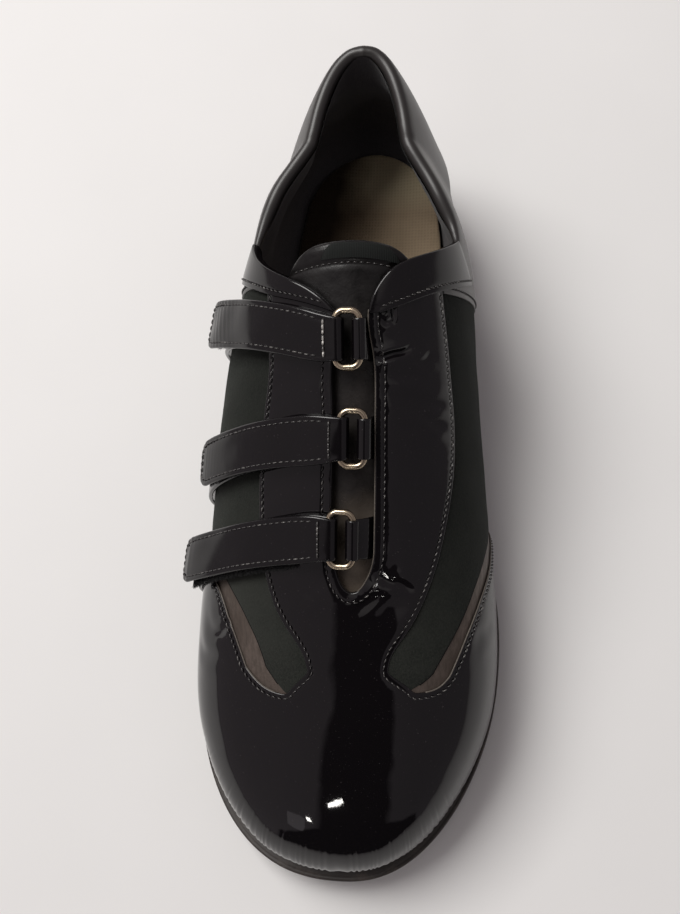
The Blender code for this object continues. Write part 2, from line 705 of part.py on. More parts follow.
def build_ring(ring, number):
    """An oval wire ring, straight along its long sides."""
    path = []
    for k in range(RING_STEPS):
        turn = 2 * pi * (k + 0.5) / RING_STEPS
        out = BAR_HALF if sin(turn) > 0 else -BAR_HALF
        aside = BAR - RING_CORNER if cos(turn) > 0 else RING_CORNER - BAR
        path.append((out + RING_CORNER * sin(turn), aside + RING_CORNER * cos(turn),
                     sin(turn), cos(turn)))
    points = []
    for along, inward, da, di in path:
        for j in range(6):
            spin = 2 * pi * j / 6
            grow = RING_WIRE / 2 * cos(spin)
            points.append(ring.point(along + grow * da, inward + grow * di,
                                     RING_WIRE / 2 * sin(spin)))
    faces = grid_faces(RING_STEPS, 6, closed=True)
    last = (RING_STEPS - 1) * 6
    faces += [(last + j, last + (j + 1) % 6, (j + 1) % 6, j) for j in range(6)]
    metal = material("pale_gold_metal", (0.78, 0.72, 0.58), 0.18, 1.0)
    return add_node("ring_%d" % number, np.array(points), faces, metal)


def ribbon(name, lines, thick, finish):
    """A band from its centre surface: lines is stations x across x 3."""
    along = np.gradient(lines, axis=0)
    across = np.gradient(lines, axis=1)
    normal = unit(np.cross(along, across))
    return slab(name, lines - normal * thick / 2, lines + normal * thick / 2, finish)


def rounded(distance, width, corner=5.0):
    """Half the width of a band at a distance from its rounded end."""
    if distance >= corner:
        return width / 2
    x = 1 - distance / corner
    return (width / 2 - corner) + corner * max(1 - x * x, 0.0) ** 0.5


def strap_middle(row):
    """r of a strap's centre line as a function of g."""
    near, mid, far = row["middle"]
    return spline(((8, r_at(near)), (32, r_at(mid)), (60, r_at(far)),
                   (84, r_at(far + (far - mid) * 0.5))))


def build_strap(skin, row, ring, number):
    """A band sewn down at the outer side, up through the ring and back on itself."""
    middle = strap_middle(row)
    across = np.linspace(-1, 1, 4)
    under = 1.5 * GAP + STRAP_THICK / 2
    over = under + STRAP_THICK + PAD_THICK + 2 * GAP
    wrap = RING_WIRE / 2 + 0.35 + STRAP_THICK / 2
    near, far = row["width"]
    fold_g = BAR - row["shift"]           # girth of the ring's outer bar
    lines = []

    def on_skin(g, off, half_width):
        r = middle(g) + across * half_width
        lines.append(skin.at(LATERAL, r, np.full(4, g), off))

    for g in np.linspace(row["root"], fold_g + 3.0, 9):
        on_skin(g, under, near / 2 - (near / 2 - BAR_HALF) * (1 - smooth_step(g, fold_g, fold_g + 8)))
    for turn in np.linspace(-pi / 2, pi / 2, 7):
        inward = -BAR + wrap * cos(turn)
        lines.append(ring.point(across * BAR_HALF, np.full(4, inward),
                                np.full(4, wrap * sin(turn))))
    tip = row["end"]
    outs = np.concatenate([np.linspace(fold_g + 3.0, tip - 8, 7), tip - np.array([5, 2.8, 1.2, 0.4, 0])])
    for g in outs:
        lift = over + (RING_LIFT + wrap - over) * (1 - smooth_step(g, fold_g, fold_g + 14))
        lift += row["flare"] * smooth_step(g, tip - 22, tip)
        width = near + (far - near) * smooth_step(g, fold_g, tip - 10)
        width -= (near - 2 * BAR_HALF) * (1 - smooth_step(g, fold_g, fold_g + 8))
        on_skin(g, lift, rounded(tip - g, width))
    build = ribbon("strap_%d" % number, np.array(lines), STRAP_THICK, patent())
    pad_low = under + STRAP_THICK / 2 + GAP
    gs = np.linspace(tip - 30, tip - 4, 6)[:, None]
    r = np.array([middle(g[0]) for g in gs])[:, None] + np.linspace(-1, 1, 4) * (near / 2 - 0.8)
    cloth = material("hook_and_loop", (0.012, 0.012, 0.013), 0.95)
    slab("fastener_%d" % number, skin.at(LATERAL, r, gs, pad_low),
         skin.at(LATERAL, r, gs, pad_low + PAD_THICK), cloth)
    return build


def build_tab(skin, row, ring, number):
    """A short loop that holds the ring's inner bar under the eyestay's edge."""
    across = np.linspace(-1, 1, 3) * (BAR_HALF - 0.3)
    wrap = RING_WIRE / 2 + 0.35 + TAB_THICK / 2
    lines = []
    under = -(UPPER_WALL + 2 * GAP + TAB_THICK / 2)
    r = float(r_at(row["ring"]))
    for g in (15.0, 12.0, 9.0):
        lines.append(skin.at(MEDIAL, r + across, np.full(3, g), under))
    edge = top_edge(skin, MEDIAL)(r + across)
    turn_up = ((0.3, under - 0.05), (-0.5, under + 0.1), (-0.85, under + 0.7), (-0.9, -0.7))
    for beside, off in turn_up:
        lines.append(skin.at(MEDIAL, r + across, edge + beside, off))
    count = np.ones(3)
    for turn in np.linspace(-0.75, -5.9, 10):
        inward = BAR + wrap * cos(turn)
        lines.append(ring.point(across, count * inward, count * wrap * sin(turn)))
    return ribbon("ring_tab_%d" % number, np.array(lines), TAB_THICK, patent())


def build_shoe():
    for old in list(bpy.data.objects):
        bpy.data.objects.remove(old, do_unlink=True)
    skin = Skin()
    build_outsole(skin)
    build_insole(skin)
    build_upper(skin)
    build_tongue(skin)
    for side, word in ((LATERAL, "lateral"), (MEDIAL, "medial")):
        build_inlays(skin, side, word)
        build_cuff(skin, side, word)
    for number, values in enumerate(STRAPS, 1):
        row = dict(zip(STRAP_COLUMNS, values))
        ring = Ring(skin, row["ring"], row["shift"])
        build_ring(ring, number)
        build_strap(skin, row, ring, number)
        build_tab(skin, row, ring, number)


build_shoe()
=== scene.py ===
"""Looks of the low black strap shoe, right foot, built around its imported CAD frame.

Every piece lies on one form, the last, as in the CAD.  A place on it is given by

  r    how far along the shoe, from the back of the heel to the toe tip,
  g    how far round the girth, from the ridge of the instep down the side,
  off  how far out from the surface, along its normal.

side is +1 for the inner (medial) side and -1 for the outer (lateral) side.
Lengths are in millimetres in the shoe's own axes (x to the inner side, t from the
heel to the toe, z up) until a mesh is made.
"""
from math import cos, pi, radians, sin

import bmesh
import bpy
import numpy as np
from mathutils import Matrix, Quaternion, Vector
from mathutils.geometry import delaunay_2d_cdt


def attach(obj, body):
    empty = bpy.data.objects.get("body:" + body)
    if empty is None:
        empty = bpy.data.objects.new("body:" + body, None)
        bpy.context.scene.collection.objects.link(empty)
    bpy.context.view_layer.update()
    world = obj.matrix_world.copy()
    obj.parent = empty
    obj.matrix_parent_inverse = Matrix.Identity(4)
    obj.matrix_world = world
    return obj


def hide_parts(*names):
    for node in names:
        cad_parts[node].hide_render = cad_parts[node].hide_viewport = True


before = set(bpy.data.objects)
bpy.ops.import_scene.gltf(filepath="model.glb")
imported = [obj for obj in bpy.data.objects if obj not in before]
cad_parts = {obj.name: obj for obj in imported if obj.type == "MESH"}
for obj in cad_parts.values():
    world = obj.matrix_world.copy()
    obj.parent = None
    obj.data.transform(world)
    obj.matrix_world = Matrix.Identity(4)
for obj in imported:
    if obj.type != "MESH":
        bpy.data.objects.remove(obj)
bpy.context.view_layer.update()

MM = 0.001
LATERAL, MEDIAL = -1, 1
SIDES = {LATERAL: "lateral", MEDIAL: "medial"}
BODY = "root"
UP = np.array([0, 0, 1.0])
OUT_AND_UP = np.array([-0.5, 0, 0.85])      # roughly square to the straps on the outer side

# ---- driving sizes, as in the CAD ----
X_CENTRE = -4.418
T_CENTRE = 133.433
T_HEEL = 36.0
T_TOE = 200.0
T_TIP = 261.4
R_HEEL = 48.0
R_TOE = 84.0
TOE_POWER = 2.37
HEEL_POWERS = (1.85, 2.4)
UPPER_WALL = 2.0
GAP = 0.3
SEAT_GAP = 0.7
INSOLE_GAP = 0.7          # between the upper's wall and the insole's edge
INSOLE_THICK = 3.0
TONGUE_THICK = 3.0
STRAP_THICK = 1.2
TAB_THICK = 0.8
PAD_THICK = 1.0
RING_LENGTH = 18.2
RING_WIDTH = 9.0
RING_WIRE = 2.0
RING_CORNER = 2.6
RING_LIFT = 2.8
BAR = (RING_WIDTH - RING_WIRE) / 2
BAR_HALF = (RING_LENGTH - RING_WIRE) / 2 - RING_CORNER
SOLE_EDGE_TOE = 5.3
SOLE_EDGE_HEEL = 2.2
ARCH_RISE = 6.5
TOE_SPRING = 6.5
TREAD_DEPTH = 1.8
TREAD_WIDTH = 4.0
TREAD_BEVEL = 0.5
TREAD_PLACES = (np.arange(18, 74, 11.0), np.arange(160, 246, 10.5))     # t, heel and forefoot

# ---- sizes that only the looks use ----
SUEDE_TOP = -0.55         # top of the suede, under the patent's surface
PEWTER_TOP = -0.85
CUFF_TOP = 1.0
CELL = 1.15               # spacing of the points inside a sheet
EDGE_CELL = 0.9           # spacing of the points along its outline
SEAM_CLEAR = 1.45         # how far a sheet's loose points keep from a seam
FINE_CLEAR = 0.62         # and from the extra lines of points in fine relief
SEAM_GROOVE = ((-0.95, 0.0), (-0.42, 0.07), (0.0, 0.2), (0.42, 0.07), (0.95, 0.0))   # aside, depth
STITCH_PITCH = 1.95
STITCH_LENGTH = 1.4
STITCH_RADIUS = 0.20
STITCH_SLANT = 0.3        # how far a stitch leans across its seam
STITCH_SHARE = np.array([0.0, 0.16, 0.5, 0.84, 1.0])          # places along one stitch
STITCH_ARCH = np.array([-0.34, 0.0, 0.1, 0.0, -0.34])         # its height there
STITCH_SWELL = np.array([0.55, 0.95, 1.05, 0.95, 0.55])       # its thickness there, as a share
SLIT_INSET = 2.8          # the stitches' distance from the edge
WING_INSET = 1.45
CUFF_INSET = 1.5
STRAP_INSET = 1.6
SLIT_NARROWED = 0.26      # share by which the slit's lower end is narrower than the CAD's
TOE_EVENED = 42.0         # length of the toe over which the two bottom edges are brought together
WRAP_GAP = 0.35           # between a ring's wire and the leather round it
RIM_RISE = 0.35           # how far the sole's rim stands over the seat inside it
TONGUE_FOLD = 6.5         # where the tongue's top edge is folded, from its end
TAPE_ENDS = (0.7, 5.4)    # the tongue's tape, from the tongue's end
TAPE_COLUMNS = slice(14, 31)        # the tongue's columns of points that it covers
GATHER_HEIGHT = 24.5      # how far up the toe the lines of points for the gathers go

# cross-sections of the last: height of the bottom edge, its half widths, half widths at the
# widest line, that line's height over the bottom edge, the ridge's height, how far the ridge
# leans inwards, how full and how round the dome is, and how far the section is moved inwards
SECTION_COLUMNS = ("t", "feather", "foot_m", "foot_l", "wide_m", "wide_l",
                   "rise", "ridge", "lean", "full", "round", "bend")
SECTIONS = (
    (-10, 25.0, 26.0, 27.0, 27.0, 30.0, 19, 91.4, 0.0, 0.00, 2.00, 0.0),
    (33, 24.8, 26.5, 27.6, 27.5, 30.8, 19, 91.4, 0.0, 0.00, 2.00, 0.0),
    (50, 24.0, 27.4, 29.3, 31.5, 34.3, 19, 96.5, 0.2, 0.00, 1.25, 0.0),
    (68, 22.8, 28.0, 31.0, 36.0, 37.5, 18, 103.0, 0.8, 0.00, 0.92, 0.0),
    (90, 19.5, 28.5, 34.5, 38.0, 43.0, 18, 97.0, 1.5, 0.02, 0.92, 0.0),
    (120, 14.5, 32.0, 40.0, 40.5, 48.5, 17, 85.0, 2.2, 0.04, 1.00, 0.0),
    (150, 10.8, 38.0, 45.0, 43.5, 50.5, 15, 73.5, 2.2, 0.07, 1.03, 0.0),
    (180, 9.0, 43.0, 49.5, 46.0, 52.7, 14, 62.5, 2.0, 0.10, 1.02, 0.0),
    (205, 9.0, 42.5, 49.8, 46.0, 52.0, 13, 54.5, 1.5, 0.12, 1.00, -0.5),
    (235, 11.0, 40.3, 45.7, 43.2, 46.5, 10, 47.0, 1.0, 0.14, 0.98, -2.8),
    (262, 14.0, 37.3, 42.0, 39.3, 42.7, 5, 41.0, 0.5, 0.14, 0.96, -3.5),
)
HEEL_CURVE = ((0, 4.0), (12, 3.0), (25, 2.8), (45, 4.4), (62, 5.0), (75, 5.0))

COLLAR = ((3, 84.0), (20, 82.0), (40, 78.0), (56, 76.0))
COLLAR_FRONT = {
    LATERAL: ((70, 46.0), (77, 40.0), (83, 32.0), (89, 21.5), (93, 14.0), (97, 8.5), (101, 5.0)),
    MEDIAL: ((70, 43.5), (75, 36.5), (80, 27.5), (85, 17.5), (88, 12.5), (92, 8.5), (96, 6.0),
             (101, 4.6)),
}
THROAT = ((101, 4.9), (112, 5.9), (125, 6.4), (150, 6.5), (170, 6.4))
THROAT_END = 178.0
T_FLARE = 50.0            # where the padded collar bulges most
HEEL_FILL = 6.5           # how far the lining curves in at the back of the insole

SOLE_LINE = 200.0         # stands for "down to the bottom edge"
INLAYS = {
    MEDIAL: dict(
        top=((91, 31), (104, 32.5), (118, 34), (131, 34.5), (155, 30), (170, 25.5), (180, 21.5),
             (190, 16), (196, 12.5), (201, 12), (206, 14), (210.5, 18.5)),
        seam=((74, SOLE_LINE), (90, SOLE_LINE), (105, SOLE_LINE), (118, SOLE_LINE),
              (130, SOLE_LINE), (141, SOLE_LINE), (147, 73), (153, 63.5), (162, 52.5), (173, 42.5),
              (185, 34.7), (196, 28), (209.5, 21)),
        front=((146, SOLE_LINE), (152, 73.5), (158, 65), (165, 56.5), (172, 49), (180, 42.5), (189, 37),
               (199, 32), (207, 27.5), (212, 22.5)),
    ),
    LATERAL: dict(
        top=((90, 30), (103, 29), (113, 28.5), (125, 30), (150, 31.5), (166, 29.5), (176, 27),
             (186, 22), (193, 16.5), (198, 13.5), (206, 13), (215, 17.5)),
        seam=((74, SOLE_LINE), (90, SOLE_LINE), (105, SOLE_LINE), (118, SOLE_LINE),
              (130, SOLE_LINE), (142, SOLE_LINE), (149, 78), (156, 67), (165, 55.5), (178, 41),
              (189, 32.5), (200, 26.5), (214, 22.5)),
        front=((148, SOLE_LINE), (154.5, 78), (161, 68.5), (168, 59.5), (175, 50), (184, 43), (195, 36.5),
               (205, 31), (213, 26.5), (218, 23)),
    ),
}
CUFF_SEAM = {
    LATERAL: ((80, 56.0), (84, 47.0), (88.5, 37.0), (93, 27.0), (97.5, 14.0), (99.5, 8.5)),
    MEDIAL: ((80, 55.0), (84, 45.0), (89, 33.0), (94, 22.0), (98, 14.0), (100.5, 8.5)),
}
TONGUE = ((81.5, 12.0), (82.8, 18.5), (86, 24.0), (92, 27.0), (104, 26.0), (130, 22.0),
          (160, 18.0), (184, 15.0))
TONGUE_OFF = -(UPPER_WALL + 5 * GAP + TAB_THICK)
# t of the ring, how far it sits to the inner side, t of the middle line at three places, widths at
# the ring and the loose end, g of the loose end and of the sewn-down end, how far the end lifts
STRAP_COLUMNS = ("ring", "shift", "middle", "width", "end", "root", "flare")
STRAPS = (
    (107.9, -1.2, (107.4, 100.3, 93.5), (13.8, 14.4), 60.0, 82.0, 3.0),
    (134.6, 0.0, (134.8, 135.4, 137.2), (14.0, 14.2), 58.0, 82.0, 1.6),
    (162.4, -3.0, (161.9, 163.8, 166.8), (13.8, 14.2), 63.0, 80.0, 3.0),
)

# soft creases in the leather: side, t and g of the two ends, depth, half width
CREASES = (
    (MEDIAL, (94.5, 13.5), (102.5, 11.6), 0.75, 0.75),
    (MEDIAL, (102.9, 8.8), (102.6, 12), 0.50, 0.70),
    (MEDIAL, (112.8, 6.8), (108.6, 17.2), 1.00, 0.85),
    (MEDIAL, (118.0, 9.5), (113.6, 22), 0.45, 1.5),
    (MEDIAL, (112.8, 18), (109.5, 25), 0.40, 1.2),
    (MEDIAL, (121.5, 10), (122.5, 29), 0.55, 1.7),
    (MEDIAL, (124.5, 13), (127.5, 30), 0.50, 1.6),
    (MEDIAL, (130.5, 14), (128.5, 28), 0.30, 1.6),
    (MEDIAL, (149, 12), (147, 27), 0.22, 2.2),
    (LATERAL, (118, 10), (120, 27), 0.35, 2.0),
    (LATERAL, (124, 12), (123, 26), 0.30, 1.8),
    (LATERAL, (148, 11), (150, 30), 0.25, 2.2),
    (LATERAL, (176, 21), (177, 10), 0.35, 2.4),
    (LATERAL, (186, 55), (191, 42), 0.30, 2.2),
    (LATERAL, (193, 60), (197, 47), 0.25, 2.0),
    (LATERAL, (190.5, 48), (186.0, 40.5), 0.26, 1.25),
    (MEDIAL, (184, 52), (190, 41), 0.28, 2.2),
    (MEDIAL, (178, 18), (184, 8), 0.25, 3.0),
    (MEDIAL, (173.2, 8.6), (175.5, 18.5), 0.65, 1.29),
    (MEDIAL, (172.6, 5.7), (171.2, 13.1), 0.53, 2.43),
    (MEDIAL, (177.8, 9.8), (183.2, 1.6), 0.53, 1.3),
)


# ---- small tools ----
def spline(points):
    """A smooth curve through (x, y) points, as a function of x."""
    xs, ys = np.array(points, float).T
    n = len(xs)
    h = np.diff(xs)
    a = np.eye(n)
    b = np.zeros(n)
    for i in range(1, n - 1):
        a[i, i - 1:i + 2] = h[i - 1], 2 * (h[i - 1] + h[i]), h[i]
        b[i] = 3 * ((ys[i + 1] - ys[i]) / h[i] - (ys[i] - ys[i - 1]) / h[i - 1])
    c = np.linalg.solve(a, b)
    slope = np.diff(ys) / h - h * (2 * c[:-1] + c[1:]) / 3
    d = np.diff(c) / (3 * h)

    def curve(x):
        x = np.clip(x, xs[0], xs[-1])
        i = np.clip(np.searchsorted(xs, x) - 1, 0, n - 2)
        q = x - xs[i]
        return ys[i] + q * (slope[i] + q * (c[i] + q * d[i]))
    return curve


def smooth_step(x, start, end):
    """0 before start, 1 after end, and smooth between."""
    w = np.clip((np.asarray(x, float) - start) / (end - start), 0, 1)
    return w * w * (3 - 2 * w)


def unit(v):
    """Vectors scaled to a length of 1."""
    return v / np.maximum(np.linalg.norm(v, axis=-1, keepdims=True), 1e-12)


def spread(count):
    """Places from -1 to 1 across a strip, closer together at its edges."""
    return np.sin(np.linspace(-pi / 2, pi / 2, count))


def length_along(points):
    """Distance of each point from the first, along a polyline."""
    steps = np.linalg.norm(np.diff(points, axis=0), axis=1)
    return np.concatenate([[0], np.cumsum(steps)])


def resample(points, spacing):
    """The same polyline with evenly spaced points."""
    points = np.asarray(points, float)
    run = length_along(points)
    count = max(int(round(run[-1] / spacing)), 1) + 1
    where = np.linspace(0, run[-1], count)
    return np.stack([np.interp(where, run, points[:, k]) for k in range(points.shape[1])], -1)


def waves(x, y, seed, size, count=9):
    """Gentle unevenness: a few sine waves in mixed directions, about -1 to 1."""
    random = np.random.default_rng(seed)
    total = np.zeros(np.broadcast(x, y).shape)
    for _ in range(count):
        turn, phase = random.uniform(0, 2 * pi, 2)
        pace = 2 * pi / (size * random.uniform(0.7, 1.6))
        total += np.sin((x * cos(turn) + y * sin(turn)) * pace + phase)
    return total / count ** 0.5 / 1.4


# ---- the last ----
COLUMN = {name: spline([(row[0], row[i]) for row in SECTIONS])
          for i, name in enumerate(SECTION_COLUMNS)}
HEEL_BACK = spline(HEEL_CURVE)
R_STRAIGHT = R_HEEL + T_TOE - T_HEEL
R_END = R_STRAIGHT + R_TOE


def r_at(t):
    """r on the straight part of the shoe, at a place t."""
    return R_HEEL + np.asarray(t, float) - T_HEEL


def half(name, side, t):
    """A section's half width on one side."""
    return COLUMN[name + ("_m" if side == MEDIAL else "_l")](t)


def dome(side, t, turn, cap):
    """The section above its widest line; turn runs from the ridge to it."""
    s = np.sin(turn) * side
    c = np.maximum(np.cos(turn), 0)
    wide = (COLUMN["wide_m"](t) + COLUMN["wide_l"](t)) / 2
    skew = (COLUMN["wide_m"](t) - COLUMN["wide_l"](t)) / 2
    base = COLUMN["feather"](t) + COLUMN["rise"](t)
    x = COLUMN["lean"](t) + wide * s * (1 + COLUMN["full"](t) * c**2) + (skew - COLUMN["lean"](t)) * s * s
    z = base + (COLUMN["ridge"](t) - base) * c ** COLUMN["round"](t) * cap
    return COLUMN["bend"](t) + cap * x, z


def wall(side, t, down):
    """The section below its widest line; down runs from 0 to 1 at the bottom edge."""
    tuck = (half("wide", side, t) - half("foot", side, t)) * down**2
    z = COLUMN["feather"](t) + COLUMN["rise"](t) * (1 - down)
    return tuck, z


def section(side, r, count=500):
    """Points down one girth line of the last, from the ridge to the bottom edge."""
    turn = np.linspace(0, pi / 2, count)
    down = np.linspace(0, 1, count // 2)[1:]
    if r <= R_STRAIGHT:
        t = max(T_HEEL, T_HEEL + r - R_HEEL)
        x, z = dome(side, t, turn, 1.0)
        tuck, z_wall = wall(side, t, down)
        x = np.concatenate([x, COLUMN["bend"](t) + side * (half("wide", side, t) - tuck)])
        z = np.concatenate([z, z_wall])
        ts = np.full(len(z), t)
        if r < R_HEEL:
            back = sin(pi / 2 * (1 - r / R_HEEL))
            seat = COLUMN["feather"](T_HEEL)
            power = HEEL_POWERS[0] + (HEEL_POWERS[1] - HEEL_POWERS[0]) * smooth_step(z, 48, 84)
            x = x * np.maximum(1 - back**power, 0) ** (1 / power)
            ts = T_HEEL - (T_HEEL - HEEL_BACK(z - seat)) * back
        return np.stack([x, ts, z], -1)
    ahead = sin(pi / 2 * (r - R_STRAIGHT) / R_TOE)
    across = max(1 - ahead**TOE_POWER, 0) ** (1 / TOE_POWER)
    out = np.sin(turn)
    cap = np.maximum(1 - (out * ahead)**TOE_POWER, 0) ** (1 / TOE_POWER)
    ts = T_TOE + (T_TIP - T_TOE) * out * ahead
    aside = np.clip(out * across / np.maximum(cap, 1e-9), 0, 1)
    x, z = dome(side, ts, np.arcsin(aside), cap)
    edge = T_TOE + (T_TIP - T_TOE) * ahead
    tuck, z_wall = wall(side, edge, down)
    x_wall = COLUMN["bend"](edge) + side * (half("wide", side, edge) - tuck) * across
    t_wall = T_TOE + (T_TIP - T_TOE - tuck) * ahead
    return np.stack([np.concatenate([x, x_wall]), np.concatenate([ts, t_wall]),
                     np.concatenate([z, z_wall])], -1)


def cubic_weights(f):
    """Weights of four neighbouring values for a smooth curve through them."""
    return (f * (-0.5 + f * (1 - 0.5 * f)), 1 + f * f * (1.5 * f - 2.5),
            f * (0.5 + f * (2 - 1.5 * f)), f * f * (0.5 * f - 0.5))


class Skin:
    """The last's surface, looked up smoothly by side, r and g, with its outward normal."""

    def __init__(self):
        self.rs = np.arange(0, R_END + 0.5)
        self.gs = np.arange(0, 112.0)
        self.girth, own = {}, {}
        for side in SIDES:
            own[side], self.girth[side] = self.tabulate(side)
        self.place, self.normal = {}, {}
        for side in SIDES:
            self.place[side] = self.pad(own[side], own[-side])
            self.normal[side] = self.normals(side, self.place[side])

    def tabulate(self, side):
        rows, girth = [], []
        for r in self.rs:
            line = section(side, r)
            beyond = line[-1] + unit(line[-1] - line[-2]) * 40
            arc = length_along(line)
            girth.append(arc[-1])
            line = np.concatenate([line, [beyond]])
            arc = np.append(arc, arc[-1] + 40)
            rows.append(np.stack([np.interp(self.gs, arc, line[:, k]) for k in range(3)], -1))
        return np.array(rows), np.array(girth)

    def pad(self, mine, other):
        """One more row and column all round, taken from the other side where they meet."""
        tall = np.concatenate([other[1:2], mine, other[-2:-1]])
        twin = np.concatenate([mine[1:2], other, mine[-2:-1]])
        ridge = twin[:, 1:2].copy()
        fan = np.concatenate([[-1], self.rs, [R_END + 1]]) > R_STRAIGHT
        ridge[fan] = 2 * tall[fan, 0:1] - tall[fan, 1:2]
        far = 2 * tall[:, -1:] - tall[:, -2:-1]
        return np.concatenate([ridge, tall, far], axis=1)

    def normals(self, side, place):
        normal = np.cross(np.gradient(place, axis=0), np.gradient(place, axis=1)) * -side
        apex = slice(int(R_STRAIGHT) + 2, None)
        normal[apex, :2] = normal[int(R_STRAIGHT) + 1, 1]
        normal = unit(normal)
        if side == MEDIAL:      # the ridge, the back and the toe line share one normal
            for pick in (np.s_[1:, 1], np.s_[1, :], np.s_[-2, :]):
                mean = unit(normal[pick] + self.normal[LATERAL][pick])
                normal[pick] = mean
                self.normal[LATERAL][pick] = mean
        return normal

    def end(self, side, r):
        """g of the bottom edge."""
        lateral = np.interp(r, self.rs, self.girth[LATERAL])
        medial = np.interp(r, self.rs, self.girth[MEDIAL])
        return np.where(np.asarray(side) < 0, lateral, medial)

    def at(self, side, r, g, off=0.0):
        """Points in the shoe's own axes."""
        side, r, g, off = np.broadcast_arrays(side, np.asarray(r, float), np.asarray(g, float),
                                              np.asarray(off, float))
        out = np.empty(r.shape + (3,))
        for one in SIDES:
            pick = side == one
            if pick.any():
                out[pick] = self.one_side(one, r[pick], g[pick], off[pick])
        return out

    def one_side(self, side, r, g, off):
        r = np.clip(r, 0, R_END)
        g = np.clip(g, 0, self.end(side, r) + 6)
        i = np.clip(r.astype(int), 0, len(self.rs) - 2)
        j = np.clip(g.astype(int), 0, len(self.gs) - 2)
        across = cubic_weights(r - i)
        down = cubic_weights(g - j)
        place = sum(self.place[side][i + a, j + b] * (across[a] * down[b])[:, None]
                    for a in range(4) for b in range(4))
        fr, fg = (r - i)[:, None], (g - j)[:, None]
        table = self.normal[side][1:, 1:]
        normal = ((1 - fr) * ((1 - fg) * table[i, j] + fg * table[i, j + 1])
                  + fr * ((1 - fg) * table[i + 1, j] + fg * table[i + 1, j + 1]))
        return place + unit(normal) * off[:, None]

    def out(self, side, r, g):
        """The outward normal."""
        return self.at(side, r, g, 1.0) - self.at(side, r, g, 0.0)


skin = Skin()


def to_world(points):
    """From the shoe's own axes, in millimetres, to metres with the toe at -Y."""
    points = np.asarray(points, float)
    return np.stack([points[..., 0] - X_CENTRE, T_CENTRE - points[..., 1], points[..., 2]],
                    -1) * MM


def height_to_girth(side, r, height):
    """g where a girth line comes down to a height."""
    g = np.linspace(0, float(skin.end(side, r)), 400)
    z = skin.at(side, r, g)[:, 2]
    return np.interp(-height, -z, g)


def top_edge(side):
    """g of the upper's top edge as a function of r: collar, cuff and throat."""
    collar = spline(COLLAR)
    knots = [(r, height_to_girth(side, r, collar(skin.at(side, r, 40.0)[1])))
             for r in (0, 8, 16, 24, 32, 40, 48, 58, 67)]
    knots += [(float(r_at(t)), g) for t, g in COLLAR_FRONT[side]]
    knots += [(float(r_at(t)), g) for t, g in THROAT[1:]]
    curve = spline(knots)
    end = float(r_at(THROAT_END))
    bend = float(r_at(THROAT[-1][0]))

    def edge(r):
        r = np.asarray(r, float)
        round_off = np.sqrt(np.clip(1 - ((r - bend) / (end - bend)).clip(0, 1)**2, 0, 1))
        return np.maximum(curve(r), 0) * np.where(r > bend, round_off, 1.0)
    return edge


TOP_EDGE = {side: top_edge(side) for side in SIDES}


# ---- flat charts of the upper, to lay sheets out on ----
class Fore:
    """p to the inner side and q to the toe, both from the ridge; the toe is a fan."""

    @staticmethod
    def flat(side, r, g):
        fan = np.clip(np.asarray(r, float) - R_STRAIGHT, 0, None) / R_TOE * pi / 2
        q = np.minimum(r, R_STRAIGHT) - R_HEEL + T_HEEL + g * np.sin(fan)
        return np.stack([side * g * np.cos(fan), q], -1)

    @staticmethod
    def back(flat):
        p, q = flat[..., 0], flat[..., 1]
        ahead = np.maximum(q - T_TOE, 0)
        side = np.where(p < 0, LATERAL, MEDIAL)
        g = np.hypot(p, ahead)
        r = np.where(q > T_TOE, R_STRAIGHT + np.arctan2(ahead, abs(p)) * 2 / pi * R_TOE, r_at(q))
        return side, r, g


class Aft:
    """Round the heel: p is r, negative on the outer side, and q is g."""

    @staticmethod
    def flat(side, r, g):
        return np.stack(np.broadcast_arrays(side * np.asarray(r, float), g), -1)

    @staticmethod
    def back(flat):
        p = flat[..., 0]
        return np.where(p < 0, LATERAL, MEDIAL), abs(p), flat[..., 1]


# ---- making meshes ----
THREADS = {}


def put(name, data):
    """A new object in the scene."""
    made = bpy.data.objects.new(name, data)
    bpy.context.scene.collection.objects.link(made)
    return made


def put_mesh(name, points, faces):
    """A new mesh object from points in metres."""
    mesh = bpy.data.meshes.new(name)
    mesh.from_pydata([tuple(p) for p in points], [], faces)
    return put(name, mesh)


def weld(piece):
    """Merges points that coincide."""
    bm = bmesh.new()
    bm.from_mesh(piece.data)
    bmesh.ops.remove_doubles(bm, verts=bm.verts, dist=0.000004)
    bmesh.ops.dissolve_degenerate(bm, edges=bm.edges, dist=0.000004)
    bmesh.ops.recalc_face_normals(bm, faces=bm.faces)
    bm.to_mesh(piece.data)
    bm.free()


def add_piece(name, points, faces, finish, slot, replaces=()):
    """One mesh object from points in the shoe's own axes, riding on the shoe."""
    piece = put_mesh(name, to_world(points), faces)
    piece.data.validate()
    piece.data.shade_smooth()
    piece.data.materials.append(finish)
    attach(piece, BODY)
    if replaces:
        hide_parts(*replaces)
    return piece


def grid_faces(rows, columns, start=0, flip=False, closed=False):
    """Quads over a grid of points numbered row by row."""
    i, j = np.meshgrid(np.arange(rows - 1), np.arange(columns if closed else columns - 1), indexing="ij")
    k = (j + 1) % columns
    faces = np.stack([i * columns + j, i * columns + k, (i + 1) * columns + k,
                      (i + 1) * columns + j], -1).reshape(-1, 4) + start
    if flip:
        faces = faces[:, ::-1]
    return [tuple(f) for f in faces.tolist()]


def inside(points, outline):
    """Which points lie inside a closed outline."""
    x, y = points[:, 0][:, None], points[:, 1][:, None]
    x1, y1 = outline.T
    x2, y2 = np.roll(outline, -1, 0).T
    crosses = (y1 > y) != (y2 > y)
    safe = np.where(y2 == y1, 1, y2 - y1)
    left = x < (x2 - x1) * (y - y1) / safe + x1
    return (crosses & left).sum(1) % 2 == 1


